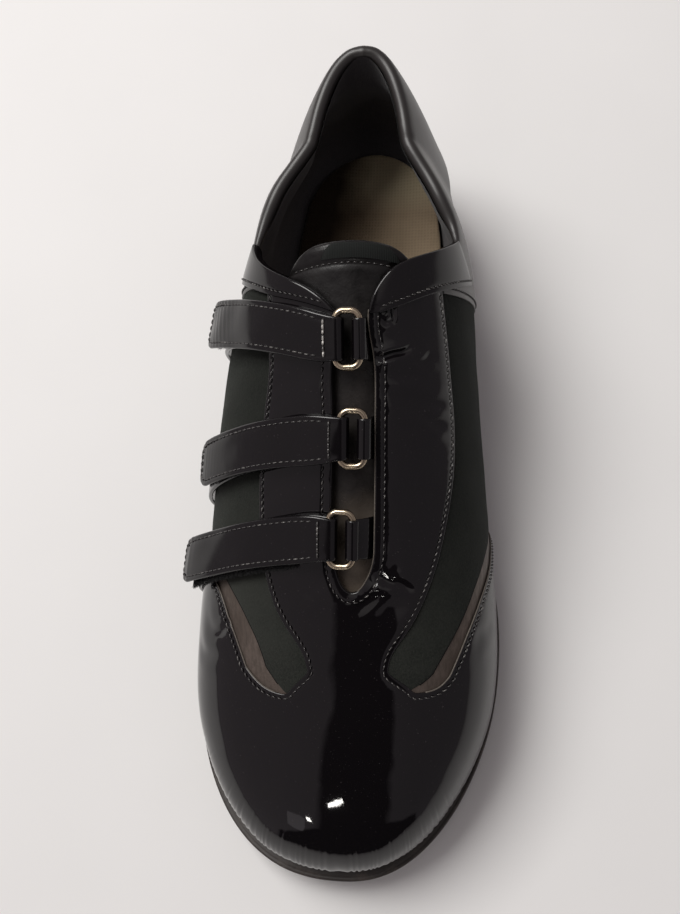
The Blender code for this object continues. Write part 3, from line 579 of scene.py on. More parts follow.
def nearest(points, line):
    """Distance from each point to the nearest point of a dense line, and its number."""
    best = np.empty(len(points))
    index = np.empty(len(points), int)
    for start in range(0, len(points), 2000):
        part = points[start:start + 2000]
        gap = ((part[:, None] - line[None]) ** 2).sum(-1)
        index[start:start + 2000] = gap.argmin(1)
        best[start:start + 2000] = gap.min(1) ** 0.5
    return best, index


class Edge:
    """How a sheet's edge is finished: corner radius, how far it turns, how far it goes on.

    A face is the flat part between two quarter turns; cell is the spacing of the points.
    """

    def __init__(self, radius, turn, drop, face=0.0, cell=EDGE_CELL):
        self.radius, self.cell = radius, cell
        self.rest = (radians(turn), drop, face)

    def values(self, line):
        radius = self.radius(line) if callable(self.radius) else np.full(len(line), self.radius)
        return np.column_stack([radius, np.tile(self.rest, (len(line), 1))])


def collar_radius(line):
    """Half the collar's thickness: padded round the heel, thin where the cuffs begin."""
    return 1.05 + 1.15 * (1 - smooth_step(abs(line[:, 0]), r_at(56), r_at(72)))


CUT = Edge(0.32, 90, 0.9)         # cut and left raw
HIDDEN = Edge(0.25, 90, 0.5)      # under another sheet
ROLL = Edge(collar_radius, 180, 5.0)        # folded over the collar's pad to the inside
CUFF_ROLL = Edge(0.6, 180, 5.0, face=1.9)
LOW = Edge(1.2, 90, 1.0)          # turned in under the last
GATHERED = Edge(1.2, 90, 1.0, cell=0.45)


def join(*segments):
    """A closed outline from (line, edge) segments, with its edge finish at each point."""
    points, values = [], []
    for line, edge in segments:
        line = resample(line, edge.cell)[:-1]
        points.append(line)
        values.append(edge.values(line))
    points, values = np.concatenate(points), np.concatenate(values)
    for _ in range(3):
        values = (np.roll(values, 1, 0) + 2 * values + np.roll(values, -1, 0)) / 4
    return points, values


def offset_line(line, amount):
    """A line moved square to itself, to its left."""
    run = unit(np.gradient(line, axis=0))
    return line + np.stack([-run[:, 1], run[:, 0]], -1) * amount


class Sheet:
    """A cut sheet of leather on the last: its outline, seams and relief."""

    def __init__(self, chart, outline, rise, seams=(), cell=CELL, pillow=0.15, fine=()):
        self.chart, self.rise, self.pillow, self.fine = chart, rise, pillow, fine
        self.points, self.edges = outline
        x, y = self.points.T
        if (x * np.roll(y, -1) - y * np.roll(x, -1)).sum() < 0:
            self.points, self.edges = self.points[::-1], self.edges[::-1]
        self.seams = [resample(s, STITCH_PITCH / 2) for s in seams]
        self.cell = cell

    def place(self, flat, off=0.0):
        side, r, g = self.chart.back(flat)
        return skin.at(side, r, g, self.rise(side, r, g) + off)

    def lattice(self):
        """Points inside the outline, closer together along the seams, and how deep they lie."""
        low, high = self.points.min(0), self.points.max(0)
        xs = np.arange(low[0], high[0], self.cell)
        ys = np.arange(low[1], high[1], self.cell * 0.866)
        x, y = np.meshgrid(xs, ys)
        x = x + (np.arange(len(ys)) % 2)[:, None] * self.cell / 2
        points = np.stack([x.ravel(), y.ravel()], -1)
        points = points[inside(points, self.points)]
        rows = []
        for line in self.fine:
            points = points[nearest(points, line)[0] > FINE_CLEAR]
            line = line[inside(line, self.points)]
            rows.append((line, np.zeros(len(line))))
        for seam in self.seams:
            points = points[nearest(points, seam)[0] > SEAM_CLEAR]
            for aside, deep in SEAM_GROOVE:
                line = offset_line(seam, aside)
                line = line[inside(line, self.points)]
                rows.append((line, np.full(len(line), deep)))
        depth = np.zeros(len(points))
        if rows:
            points = np.concatenate([points] + [r[0] for r in rows])
            depth = np.concatenate([depth] + [r[1] for r in rows])
        gap, index = nearest(points, self.points)
        keep = gap > self.edges[index, 0] + 0.45 * self.cell
        return points[keep], depth[keep], gap[keep]

    def mesh(self):
        """Points and faces, with the edge finish round the outline."""
        inner, depth, gap = self.lattice()
        count = len(self.points)
        flat = np.concatenate([self.points, inner])
        rim = [(i, (i + 1) % count) for i in range(count)]
        found = delaunay_2d_cdt([Vector(p) for p in flat.tolist()], rim, [], 0, 1e-5, True)
        first = [ids[0] if ids else -1 for ids in found[3]]
        faces = np.array([[first[i] for i in f] for f in found[2]])
        faces = faces[(faces >= 0).all(1)]
        faces = faces[inside(flat[faces].mean(1), self.points)]
        faces = [tuple(f) for f in faces.tolist()]
        side, r, g = self.chart.back(flat)
        off = self.rise(side, r, g)
        off[count:] -= depth + self.pillow * np.exp(-(gap / 1.3) ** 2)
        off[:count] -= self.pillow
        points = skin.at(side, r, g, off)
        rim = points[:count]
        normal = unit(skin.out(side[:count], r[:count], g[:count]))
        outward = self.outward(rim, normal)
        radius, turn, drop, face = self.edges.T[:, :, None]
        rows = [rim - outward * radius]
        steps = 8
        for k in range(1, steps + 1):
            a = turn * k / steps
            down = radius * (1 - np.cos(a)) + face * smooth_step(a, pi / 2, pi * 5 / 8)
            rows.append(rim + outward * radius * (np.sin(a) - 1) - normal * down)
        for share in (0.5, 1.0):
            rows.append(rows[steps] + (outward * np.cos(turn) - normal * np.sin(turn)) * drop * share)
        points = np.concatenate([rows[0], points[count:]] + rows[1:])
        start = len(flat)
        rings = [np.arange(count)] + [start + k * count + np.arange(count) for k in range(len(rows) - 1)]
        for a, b in zip(rings, rings[1:]):
            a2, b2 = np.roll(a, -1), np.roll(b, -1)
            faces += [tuple(f) for f in np.stack([a2, a, b, b2], -1).tolist()]
        return points, self.facing(points, faces, flat)

    def outward(self, rim, normal):
        """In the surface and away from the sheet, at each point of the outline."""
        run = unit(np.roll(rim, -1, 0) - np.roll(rim, 1, 0))
        outward = unit(np.cross(run, normal))
        flat_run = unit(np.roll(self.points, -1, 0) - np.roll(self.points, 1, 0))
        flat_out = np.stack([flat_run[:, 1], -flat_run[:, 0]], -1)
        step = self.place(self.points + flat_out * 0.2) - self.place(self.points)
        sign = np.sign((step * outward).sum(1))
        return outward * np.where(sign.sum() < 0, -1, 1)

    def facing(self, points, faces, flat):
        """Turns all faces outward, by looking at one in the middle."""
        triangle = np.array(faces[len(faces) // 3][:3])
        a, b, c = to_world(points[triangle])
        side, r, g = self.chart.back(flat[triangle[:1]])
        out = skin.out(side, r, g)[0] * (1, -1, 1)
        if np.dot(np.cross(b - a, c - a), out) < 0:
            faces = [f[::-1] for f in faces]
        return faces


def add_sheet(name, sheet, finish, slot, replaces=()):
    add_piece(name, *sheet.mesh(), finish, slot, replaces)


# ---- thread ----
def tubes(lines, normals, radius, sides=6):
    """Closed tubes along many short lines at once: lines is count x stations x 3."""
    run = unit(np.gradient(lines, axis=1))
    aside = unit(np.cross(run, normals))
    up = np.cross(aside, run)
    turn = np.arange(sides) * 2 * pi / sides
    ring = (aside[:, :, None] * np.cos(turn)[:, None] + up[:, :, None] * np.sin(turn)[:, None])
    points = lines[:, :, None] + ring * radius[:, :, None, None]
    count, stations = lines.shape[:2]
    faces = []
    one = np.array(grid_faces(stations, sides, closed=True))
    cap = [tuple(range(sides))[::-1], tuple((stations - 1) * sides + j for j in range(sides))]
    for n in range(count):
        start = n * stations * sides
        faces += [tuple(f) for f in (one + start).tolist()]
        faces += [tuple(start + i for i in f) for f in cap]
    return points.reshape(-1, 3), faces


def sew(thread, place, line, pitch=STITCH_PITCH, length=STITCH_LENGTH, lift=0.1, thick=1.0):
    """A row of stitches; place(flat points, height) gives points on the sheet."""
    run = length_along(line)
    count = int(run[-1] / pitch)
    if count < 1:
        return
    start = (run[-1] - count * pitch + pitch - length) / 2 + np.arange(count) * pitch
    where = start[:, None] + STITCH_SHARE * length
    flat = np.stack([np.interp(where, run, line[:, k]) for k in range(2)], -1)
    across = unit(flat[:, -1] - flat[:, 0])[:, None, ::-1] * (-1, 1)
    flat = flat + across * ((STITCH_SHARE - 0.5) * STITCH_SLANT)[:, None]
    height = lift + STITCH_ARCH + where * 0
    base = place(flat, height)
    above = place(flat, height + 0.5)
    radius = STITCH_RADIUS * thick * STITCH_SWELL + where * 0
    points, faces = tubes(base, unit(above - base), radius)
    THREADS.setdefault(thread, []).append((points, faces))


def add_threads():
    """One piece for each group of stitches."""
    for name, parts in THREADS.items():
        points, faces, start = [], [], 0
        for part, these in parts:
            points.append(part)
            faces += [tuple(start + i for i in f) for f in these]
            start += len(part)
        # the top strap's end row is sewn with the thread that carries painted glints
        made = thread_glint_painted() if name == "strap_end" else thread_black()
        add_piece("stitches_" + name, np.concatenate(points), faces, made, "patent")


# ---- materials ----
MATERIALS = {}


class Graph:
    """Short ways to build the nodes of a material or of the world."""

    def __init__(self, owner, shader="Principled BSDF", where="Object"):
        owner.use_nodes = True
        self.tree = owner.node_tree
        self.shader = self.tree.nodes[shader]
        self.where = self.node("ShaderNodeTexCoord").outputs[where]

    def node(self, kind, **settings):
        made = self.tree.nodes.new(kind)
        for key, value in settings.items():
            setattr(made, key, value)
        return made

    def feed(self, socket, value):
        """Gives a socket a constant, or links another node's output to it."""
        if isinstance(value, bpy.types.NodeSocket):
            self.tree.links.new(value, socket)
        elif isinstance(value, tuple) and len(value) == 3 and socket.type == "RGBA":
            socket.default_value = (*value, 1)
        else:
            socket.default_value = value

    def make(self, kind, out, values, **settings):
        """A node with its inputs fed by name or number; returns one of its outputs."""
        made = self.node(kind, **settings)
        for key, value in values.items():
            self.feed(made.inputs[key], value)
        return made.outputs[out]

    def set(self, **values):
        """Feeds the shader's sockets, by name with _ for spaces."""
        for key, value in values.items():
            self.feed(self.shader.inputs[key.replace("_", " ")], value)

    def stretched(self, x, y, z):
        """The place on the shoe with its axes scaled, for features that are longer one way."""
        return self.make("ShaderNodeMapping", "Vector", {"Vector": self.where, "Scale": (x, y, z)})

    def noise(self, size, detail=2.0, roughness=0.5, where=None):
        """Noise from 0 to 1 with features of a size in millimetres."""
        return self.make("ShaderNodeTexNoise", "Fac", {
            "Vector": where or self.where, "Scale": 1000 / size, "Detail": detail, "Roughness": roughness})

    def weave(self, size, direction, **values):
        """Parallel waves from 0 to 1, a size in millimetres apart."""
        return self.make("ShaderNodeTexWave", "Fac", {"Vector": self.where, "Scale": 1000 / size, **values},
                         bands_direction=direction)

    def split(self):
        """The place along x, y and z, on the shoe in metres."""
        made = self.node("ShaderNodeSeparateXYZ")
        self.feed(made.inputs[0], self.where)
        return made.outputs

    def cells(self, size):
        """Distance to the middle of the nearest cell, for cells of a size in millimetres."""
        return self.make("ShaderNodeTexVoronoi", "Distance", {"Vector": self.where, "Scale": 1000 / size})

    def ramp(self, value, low, high, out_low=0.0, out_high=1.0):
        """A value's way from low to high, as one from out_low to out_high."""
        return self.make("ShaderNodeMapRange", "Result", {
            "Value": value, "From Min": low, "From Max": high, "To Min": out_low, "To Max": out_high})

    def maths(self, how, a, b):
        return self.make("ShaderNodeMath", "Value", {0: a, 1: b}, operation=how)

    def mix(self, factor, a, b):
        """A colour between a and b, each a colour or a socket."""
        return self.make("ShaderNodeMix", 2, {"Factor": factor, 6: a, 7: b}, data_type="RGBA")

    def bump(self, height, depth, **values):
        """A bump whose full height is a depth in millimetres."""
        return self.make("ShaderNodeBump", "Normal", {
            "Height": height, "Distance": depth * MM, "Strength": 1.0, **values})


def material(build):
    """A function that returns the material, and makes it the first time."""
    def once():
        name = build.__name__
        if name not in MATERIALS:
            MATERIALS[name] = bpy.data.materials.new(name)
            build(Graph(MATERIALS[name]))
        return MATERIALS[name]
    return once


def lacquer(m, film_roughness, unevenness, black=(0.0036, 0.0028, 0.0034), film=1.0):
    """Lacquered leather: a deep black under a thick glossy film that isn't quite flat."""
    dust = m.ramp(m.noise(0.55, 1.0), 0.72, 0.80)
    broad = m.bump(m.noise(7.0, 1.0), unevenness)
    m.set(Base_Color=m.mix(dust, black, (0.032, 0.028, 0.029)), Roughness=0.6, Specular_IOR_Level=0.0,
          Normal=m.bump(m.noise(0.4, 2.0), 0.01), Coat_Weight=film, Coat_Roughness=film_roughness,
          Coat_IOR=1.52, Coat_Normal=m.bump(m.noise(1.3, 2.0), 0.004, Normal=broad))


@material
def patent_black(m):
    """The vamp's patent."""
    lacquer(m, 0.035, 0.035)


@material
def patent_strap(m):
    """The straps' and cuffs' patent, rubbed a little softer."""
    lacquer(m, 0.14, 0.045, film=0.86)


@material
def patent_collar(m):
    """The patent of the padded back, softest of all, over a greyer base that is painted light, lifting the
    band round the collar.
    """
    lacquer(m, 0.38, 0.06, (0.024, 0.0212, 0.0200))


@material
def edge_highlight_painted(m):
    """A pale line along an edge of the patent: a painted edge highlight."""
    m.set(Base_Color=m.mix(m.noise(1.5, 2.0), (0.065, 0.055, 0.046), (0.165, 0.145, 0.125)),
          Roughness=0.6, Specular_IOR_Level=0.3)


@material
def edge_shadow_painted(m):
    """A black line at the suede's edge: painted shade of the step where the suede lies over the pewter."""
    m.set(Base_Color=(0.003, 0.003, 0.003), Roughness=0.7, Specular_IOR_Level=0.1)


@material
def tongue_black(m):
    """The tongue's softer leather, its shine rubbed dull, lighter towards the toe, with painted light
    making its lower end pale brown.
    """
    rubbed = m.ramp(m.noise(7.0, 3.0, 0.6), 0.35, 0.70)
    y = m.split()[1]
    # painted light: the lower end, where it shows in the slit, is pale brown
    low = m.ramp(m.maths("ADD", y, m.ramp(m.noise(9.0, 2.0), 0.3, 0.7, -0.004, 0.004)), -0.012, -0.046)
    ahead = m.ramp(y, 0.040, 0.012)
    dark = m.mix(ahead, (0.0040, 0.0034, 0.0034), (0.0125, 0.0105, 0.0095))
    lighter = m.mix(ahead, (0.0070, 0.0058, 0.0056), (0.020, 0.0165, 0.0150))
    grain = m.bump(m.cells(0.9), 0.02)
    m.set(Base_Color=m.mix(low, m.mix(rubbed, dark, lighter), (0.125, 0.100, 0.078)),
          Roughness=m.ramp(rubbed, 0, 1, 0.26, 0.42), Specular_IOR_Level=0.38,
          Normal=m.bump(m.noise(2.5, 2.0), 0.04, Normal=grain))


@material
def suede_black_green(m):
    """Short nap with brushed patches; painted light makes it paler on the outer wing's front, and painted
    shade makes it darker towards the heel, darkest on the inner side.
    """
    patch = m.ramp(m.noise(9.0, 3.0, 0.6), 0.3, 0.7)
    nap = m.noise(0.45, 3.0, 0.7, m.stretched(1.0, 0.6, 1.0))
    dark = m.mix(patch, (0.0095, 0.0108, 0.0094), (0.0175, 0.0190, 0.0165))
    plain = m.mix(m.ramp(nap, 0.35, 0.75), dark, (0.028, 0.0295, 0.0255))
    x, y, _ = m.split()
    # painted shade: darker towards the heel, most on the inner side
    heel_shade = m.ramp(y, -0.060, 0.010)
    most = m.ramp(x, -0.010, 0.020, 0.34, 0.84)
    plain = m.mix(m.maths("MULTIPLY", heel_shade, most), plain, (0.0022, 0.0026, 0.0024))
    # painted light: paler towards the front of the outer wing
    rubbed = m.maths("MULTIPLY", m.ramp(y, -0.012, -0.040), m.ramp(x, -0.008, -0.030, 0.0, 0.5))
    m.set(Base_Color=m.mix(rubbed, plain, (0.042, 0.0435, 0.0385)), Roughness=0.95,
          Specular_IOR_Level=0.10, Normal=m.bump(nap, 0.16), Sheen_Weight=0.07, Sheen_Roughness=0.5,
          Sheen_Tint=(0.85, 0.92, 0.84))


@material
def pewter_leather(m):
    """Leather with a dull metal foil, brushed along the strip and a little rubbed."""
    streak = m.noise(1.1, 3.0, 0.6, m.stretched(1.0, 0.22, 1.0))
    rubbed = m.ramp(m.noise(9.0, 2.0), 0.35, 0.70)
    worn = m.mix(rubbed, (0.140, 0.112, 0.096), (0.092, 0.072, 0.059))
    grain = m.bump(m.cells(0.7), 0.03)
    m.set(Base_Color=m.mix(m.ramp(streak, 0.35, 0.75), worn, (0.070, 0.056, 0.046)),
          Roughness=m.ramp(streak, 0.3, 0.8, 0.42, 0.55), Metallic=0.55, Specular_IOR_Level=0.4,
          Normal=m.bump(m.noise(4.0, 2.0), 0.08, Normal=grain))


@material
def thread_black(m):
    """Waxed polyester thread with a little sheen, and painted glints that make some stitches pale."""
    plain = m.mix(m.noise(1.0), (0.014, 0.013, 0.013), (0.050, 0.045, 0.043))
    # painted glints: some stitches pale
    painted_glints = m.ramp(m.noise(2.2, 0.0), 0.60, 0.70)
    m.set(Base_Color=m.mix(painted_glints, plain, (0.125, 0.119, 0.112)), Roughness=0.26,
          Specular_IOR_Level=0.7, Normal=m.bump(m.noise(0.25, 1.0), 0.03))


@material
def thread_glint_painted(m):
    """The shiny thread across the end of the top strap, with painted glints in pale patches along it."""
    # painted glints: pale patches along the thread
    worn = m.ramp(m.noise(1.6, 1.0), 0.35, 0.65)
    m.set(Base_Color=m.mix(worn, (0.045, 0.042, 0.038), (0.62, 0.60, 0.56)), Roughness=0.2,
          Specular_IOR_Level=0.9)


@material
def lining_black(m):
    """Matt woven lining, dustier low down."""
    fine = m.noise(0.5, 2.0)
    plain = m.mix(fine, (0.030, 0.028, 0.029), (0.058, 0.054, 0.056))
    dusty = m.mix(fine, (0.085, 0.080, 0.082), (0.150, 0.142, 0.145))
    m.set(Base_Color=m.mix(m.ramp(m.split()[2], 0.075, 0.035), plain, dusty), Roughness=0.85,
          Specular_IOR_Level=0.25, Normal=m.bump(m.cells(0.6), 0.06), Sheen_Weight=0.12,
          Sheen_Roughness=0.5)


@material
def insole_cloth(m):
    """Grey-brown sock with a fine weave, darker in worn patches, with a painted highlight at its heel end
    and a painted shadow over its outer side.
    """
    cloth = m.maths("MULTIPLY", *(m.weave(3.6, way, Distortion=1.2, Detail=1.0) for way in "XY"))
    worn = m.ramp(m.noise(26.0, 3.0, 0.6), 0.36, 0.66)
    plain = m.mix(worn, (0.300, 0.228, 0.152), (0.210, 0.155, 0.100))
    x, y, _ = m.split()
    # painted highlight: a lighter band at the heel end
    plain = m.mix(m.ramp(y, 0.098, 0.110), plain, (0.50, 0.42, 0.28))
    # painted shadow of the outer wall: darker over the outer side, up to a slanting line
    shadow_slant = m.maths("SUBTRACT", x, m.maths("MULTIPLY", y, 0.18))
    shadow_slant = m.maths("ADD", shadow_slant, m.ramp(m.noise(12.0, 2.0), 0.3, 0.7, -0.002, 0.002))
    plain = m.mix(m.ramp(shadow_slant, -0.0155, -0.0285), plain, (0.040, 0.028, 0.018))
    m.set(Base_Color=m.mix(m.ramp(cloth, 0.0, 1.0, 0.0, 0.20), plain, (0.085, 0.065, 0.043)),
          Roughness=0.9, Specular_IOR_Level=0.2, Normal=m.bump(cloth, 0.10), Sheen_Weight=0.15,
          Sheen_Roughness=0.5)


@material
def rubber_black(m):
    """Moulded rubber, faintly stippled and dusty."""
    dust = m.ramp(m.noise(6.0, 5.0, 0.7), 0.50, 0.78)
    m.set(Base_Color=m.mix(dust, (0.032, 0.0255, 0.0222), (0.092, 0.076, 0.066)),
          Roughness=m.ramp(dust, 0, 1, 0.42, 0.68), Specular_IOR_Level=0.45,
          Normal=m.bump(m.noise(0.7, 2.0), 0.035))


@material
def ring_metal(m):
    """Pale gold plating with fine scratches."""
    scratch = m.noise(0.5, 3.0, 0.6, m.stretched(1.0, 6.0, 1.0))
    m.set(Base_Color=m.mix(m.ramp(scratch, 0.45, 0.75), (0.52, 0.43, 0.315), (0.34, 0.275, 0.195)),
          Roughness=m.ramp(scratch, 0.3, 0.8, 0.16, 0.32), Metallic=1.0)


@material
def hook_tape(m):
    """Nylon hook-and-loop tape."""
    m.set(Base_Color=m.mix(m.noise(0.6, 2.0), (0.008, 0.008, 0.008), (0.026, 0.026, 0.027)),
          Roughness=0.75, Specular_IOR_Level=0.35, Normal=m.bump(m.cells(0.7), 0.25))


@material
def tape_plain(m):
    """The plain woven tape at the top of the tongue."""
    cloth = m.weave(1.6, "X")
    m.set(Base_Color=m.mix(cloth, (0.006, 0.0072, 0.0066), (0.013, 0.0145, 0.0135)), Roughness=0.8,
          Specular_IOR_Level=0.2, Normal=m.bump(cloth, 0.05))


@material
def floor_pale(m):
    """The floor's matt paint."""
    m.set(Base_Color=m.mix(m.noise(60, 3.0), (0.80, 0.795, 0.785), (0.84, 0.835, 0.825)),
          Roughness=0.6, Specular_IOR_Level=0.3)


# ---- lines that the pieces share ----
def smooth_path(points, run, where):
    """Both coordinates of a smooth curve through points, at distances along it."""
    return [spline(np.stack([run, points[:, k]], -1))(where) for k in range(2)]


def chart_curve(side, rows, first=0, count=240):
    """A smooth curve through (t, g) points, as points of the flat chart."""
    settled = np.array([(t, min(g, float(skin.end(side, r_at(t))))) for t, g in rows])
    run = length_along(settled)
    t, g = smooth_path(settled, run, np.linspace(run[first], run[-1], count))
    r = r_at(t)
    return Fore.flat(side, r, np.minimum(g, skin.end(side, r)))


def chart_points(side, rows):
    """(t, g) points as points of the flat chart."""
    rows = np.array(rows, float)
    return Fore.flat(side, r_at(rows[:, 0]), rows[:, 1])


def edge_line(side, start, stop):
    """The upper's top edge between two places t, with more points towards the second."""
    share = np.sin(np.linspace(0, pi / 2, 200))
    r = r_at(start + (stop - start) * share)
    return Fore.flat(side, r, TOP_EDGE[side](r))


def bottom_edge(side, r_start, r_stop):
    """The upper's bottom edge on one side, in the flat chart."""
    r = np.linspace(r_start, r_stop, 300)
    return Fore.flat(side, r, skin.end(side, r))


def bridge(a, b):
    """A smooth bend from the end of one line to the start of the next."""
    reach = 0.55 * np.linalg.norm(b[0] - a[-1])
    leave = a[-1] + unit(a[-1] - a[-3]) * reach
    arrive = b[0] - unit(b[2] - b[0]) * reach
    s = np.linspace(0, 1, 14)[:, None]
    return a[-1] * (1 - s)**3 + 3 * leave * s * (1 - s)**2 + 3 * arrive * s**2 * (1 - s) + b[0] * s**3


def cut_out(side):
    """The patent's edge round one wing: along the eyestay, round the tip and back to the sole."""
    top = chart_curve(side, INLAYS[side]["top"])
    front = chart_curve(side, INLAYS[side]["front"])[::-1]
    return top, bridge(top, front), front


CUT_OUT = {side: cut_out(side) for side in SIDES}
WING_LINE = {side: np.concatenate([a, b[1:-1], c]) for side, (a, b, c) in CUT_OUT.items()}
UNDER_CUFF = {
    LATERAL: ((98, 10.5), (94.5, 17), (90, 26.5), (87, 30.3)),
    MEDIAL: ((98, 8.8), (95, 13), (91, 21), (87.5, 30.8)),
}


def slit_line():
    """Down the outer side of the throat, round its end and up the inner side; narrower low down."""
    lateral = edge_line(LATERAL, 99.5, THROAT_END)
    medial = edge_line(MEDIAL, 100, THROAT_END)[::-1]
    line = np.concatenate([lateral, medial[1:]])
    start = np.where(line[:, 0] < 0, 158, 166)
    line[:, 0] *= 1 - SLIT_NARROWED * smooth_step(line[:, 1], start, 177)
    return line


SLIT = slit_line()


# ---- relief ----
def crease_relief(flat):
    """Each crease is a valley between two lips, slightly curved, that fades out at its ends."""
    total = np.zeros(flat.shape[:-1])
    for side, a, b, depth, width in CREASES:
        start, stop = chart_points(side, (a, b))
        run = stop - start
        size = np.linalg.norm(run)
        along = (flat - start) @ run / size**2
        aside = (flat - start) @ np.array([-run[1], run[0]]) / size
        aside = aside + 0.06 * size * (4 * (along - 0.5)**2 - 1) + 0.25 * np.sin(along * 7 + size)
        fade = smooth_step(along, -0.2, 0.3) * (1 - smooth_step(along, 0.7, 1.2))
        lips = sum(0.5 * np.exp(-((aside - s * 2.0 * width) / (1.1 * width))**2) for s in (-1, 1))
        total += depth * fade * (lips - np.exp(-(aside / width)**2))
    return total


R_GATHERS = R_STRAIGHT + 12       # where the gathers round the toe begin
SHARP_CREASE = 1.3                # creases narrower than this get points of their own


def gather_relief(side, r, g):
    """Small gathers where the toe is pulled in under the last."""
    low = skin.end(side, r) - g
    s = np.where(side < 0, r, 2 * R_END - r)
    phase = s * 1.45 + 0.9 * np.sin(s * 0.37) + 0.6 * np.sin(s * 0.83 + 2)
    fold = abs(np.sin(phase)) - 0.75
    reach = 1 + 0.24 * np.sin(s * 0.9 + 1) + 0.16 * np.sin(s * 2.3)
    low = np.maximum(low, 0) / reach
    strength = smooth_step(r, R_GATHERS, R_GATHERS + 22) * (0.75 + 0.25 * np.sin(s * 0.17 + 1))
    return fold * strength * (0.26 * np.exp(-(low / 6)**2) + 0.40 * np.exp(-(low / 17.0)**4))


def gather_lines():
    """Lines along the toe's bottom edge that are close enough together for the gathers."""
    lines = []
    for up in np.arange(0.75, GATHER_HEIGHT, 0.8):
        r = np.linspace(R_GATHERS, R_END, 300)
        lateral, medial = (Fore.flat(side, r, skin.end(side, r) - up) for side in SIDES)
        lines.append(resample(np.concatenate([lateral, medial[::-1]]), 0.45))
    return lines


def fold_lines():
    """Lines beside the sharp creases, for the points that they need."""
    lines = []
    for side, a, b, _, width in CREASES:
        if width < SHARP_CREASE:
            line = resample(chart_points(side, (a, b)), 0.5)
            lines += [offset_line(line, aside) for aside in np.arange(-2.0, 2.1, 0.4)]
    return lines


def vamp_rise(side, r, g):
    """The vamp's height: unevenness, creases, gathers and a raised corner beside the slit's end."""
    flat = Fore.flat(side, r, g)
    p, q = flat[..., 0], flat[..., 1]
    level = 0.10 * waves(p, q, 3, 26) + 0.012 * waves(p, q, 5, 9)
    corner = 0.45 * np.exp(-(((p - 8.5) / 3.6)**2 + ((q - 176.5) / 1.7)**2))
    return level + crease_relief(flat) + gather_relief(side, r, g) + corner


def collar_flare(side, r, g):
    """The padded collar bulges outward beside the ankle."""
    below = g - collar_top(side, r)
    where = np.exp(-((r - r_at(T_FLARE)) / 15.0)**2) * np.where(np.asarray(side) < 0, 1.9, 1.1)
    return where * (1 - smooth_step(below, 3, 24))


def collar_top(side, r):
    """g of the top edge, for places on either side."""
    return np.where(np.asarray(side) < 0, TOP_EDGE[LATERAL](r), TOP_EDGE[MEDIAL](r))


def quarter_rise(side, r, g):
    """The quarter's height: unevenness, creases, the seam down the heel and the padded collar."""
    flat = Aft.flat(side, r, g)
    seam = 0.35 * np.exp(-(r / 0.7)**2) * smooth_step(g - collar_top(side, r), 1, 8)
    level = 0.09 * waves(flat[..., 0], flat[..., 1], 8, 30)
    return level + crease_relief(Fore.flat(side, r, g)) - seam + collar_flare(side, r, g)


def level_rise(top, amount, seed, size):
    """The height of a sheet that lies level, apart from gentle unevenness."""
    def rise(side, r, g):
        flat = Fore.flat(side, r, g)
        return top + amount * waves(flat[..., 0], flat[..., 1], seed, size)
    return rise


cuff_rise = level_rise(CUFF_TOP, 0.06, 12, 18)
suede_rise = level_rise(SUEDE_TOP, 0.10, 21, 16)
pewter_rise = level_rise(PEWTER_TOP, 0.06, 31, 9)


# ---- the upper's sheets ----
SLIT_EDGE = Edge(0.45, 90, 1.5)


def build_vamp():
    """Toe and eyestays in one sheet, cut out round the two wings."""
    segments = [(SLIT, SLIT_EDGE)]
    t, b, f = CUT_OUT[MEDIAL]
    under = chart_points(MEDIAL, UNDER_CUFF[MEDIAL])
    segments += [(np.concatenate([SLIT[-1:], under, t[:1]]), HIDDEN), (t, CUT), (b, CUT), (f, CUT)]
    start = {side: float(r_at(INLAYS[side]["front"][0][0])) for side in SIDES}
    segments.append((bottom_edge(MEDIAL, start[MEDIAL], R_GATHERS), LOW))
    segments.append((bottom_edge(MEDIAL, R_GATHERS, R_END), GATHERED))
    segments.append((bottom_edge(LATERAL, R_GATHERS, R_END)[::-1], GATHERED))
    segments.append((bottom_edge(LATERAL, start[LATERAL], R_GATHERS)[::-1], LOW))
    t, b, f = CUT_OUT[LATERAL]
    under = chart_points(LATERAL, UNDER_CUFF[LATERAL])[::-1]
    segments += [(f[::-1], CUT), (b[::-1], CUT), (t[::-1], CUT),
                 (np.concatenate([t[:1], under, SLIT[:1]]), HIDDEN)]
    seams = [offset_line(SLIT, SLIT_INSET)]
    seams += [offset_line(WING_LINE[side], side * WING_INSET) for side in SIDES]
    sheet = Sheet(Fore, join(*segments), vamp_rise, seams, fine=gather_lines() + fold_lines())
    add_sheet("vamp_patent", sheet, patent_black(), "patent", ["upper"])
    for seam in seams:
        sew("vamp", sheet.place, clip_line(seam, sheet.points))
    # pale lines painted as edge highlights, along the slit's inner edge and the fronts of the wings
    add_trim("slit_edge", sheet.place, SLIT[SLIT[:, 0] > 1.5], 0.20, -0.36, edge_highlight_painted(), "patent")
    for side, word in SIDES.items():
        front = CUT_OUT[side][2][6:]
        add_trim("wing_edge_" + word, sheet.place, front, 0.24, -0.40, edge_highlight_painted(), "patent")


def add_trim(name, place, line, radius, height, finish, slot):
    """A fine line along a sheet's edge."""
    line = resample(line, 0.8)
    base, above = place(line, height), place(line, height + 0.5)
    points, faces = tubes(base[None], unit(above - base)[None], np.full((1, len(line)), radius))
    add_piece(name, points, faces, finish, slot)


def clip_line(line, outline):
    """The longest run of a line that stays inside an outline."""
    within = inside(line, outline)
    best, start = (0, 0), None
    for i, good in enumerate(list(within) + [False]):
        if good and start is None:
            start = i
        if not good and start is not None:
            best = max(best, (i - start, start))
            start = None
    return line[best[1]:best[1] + best[0]]


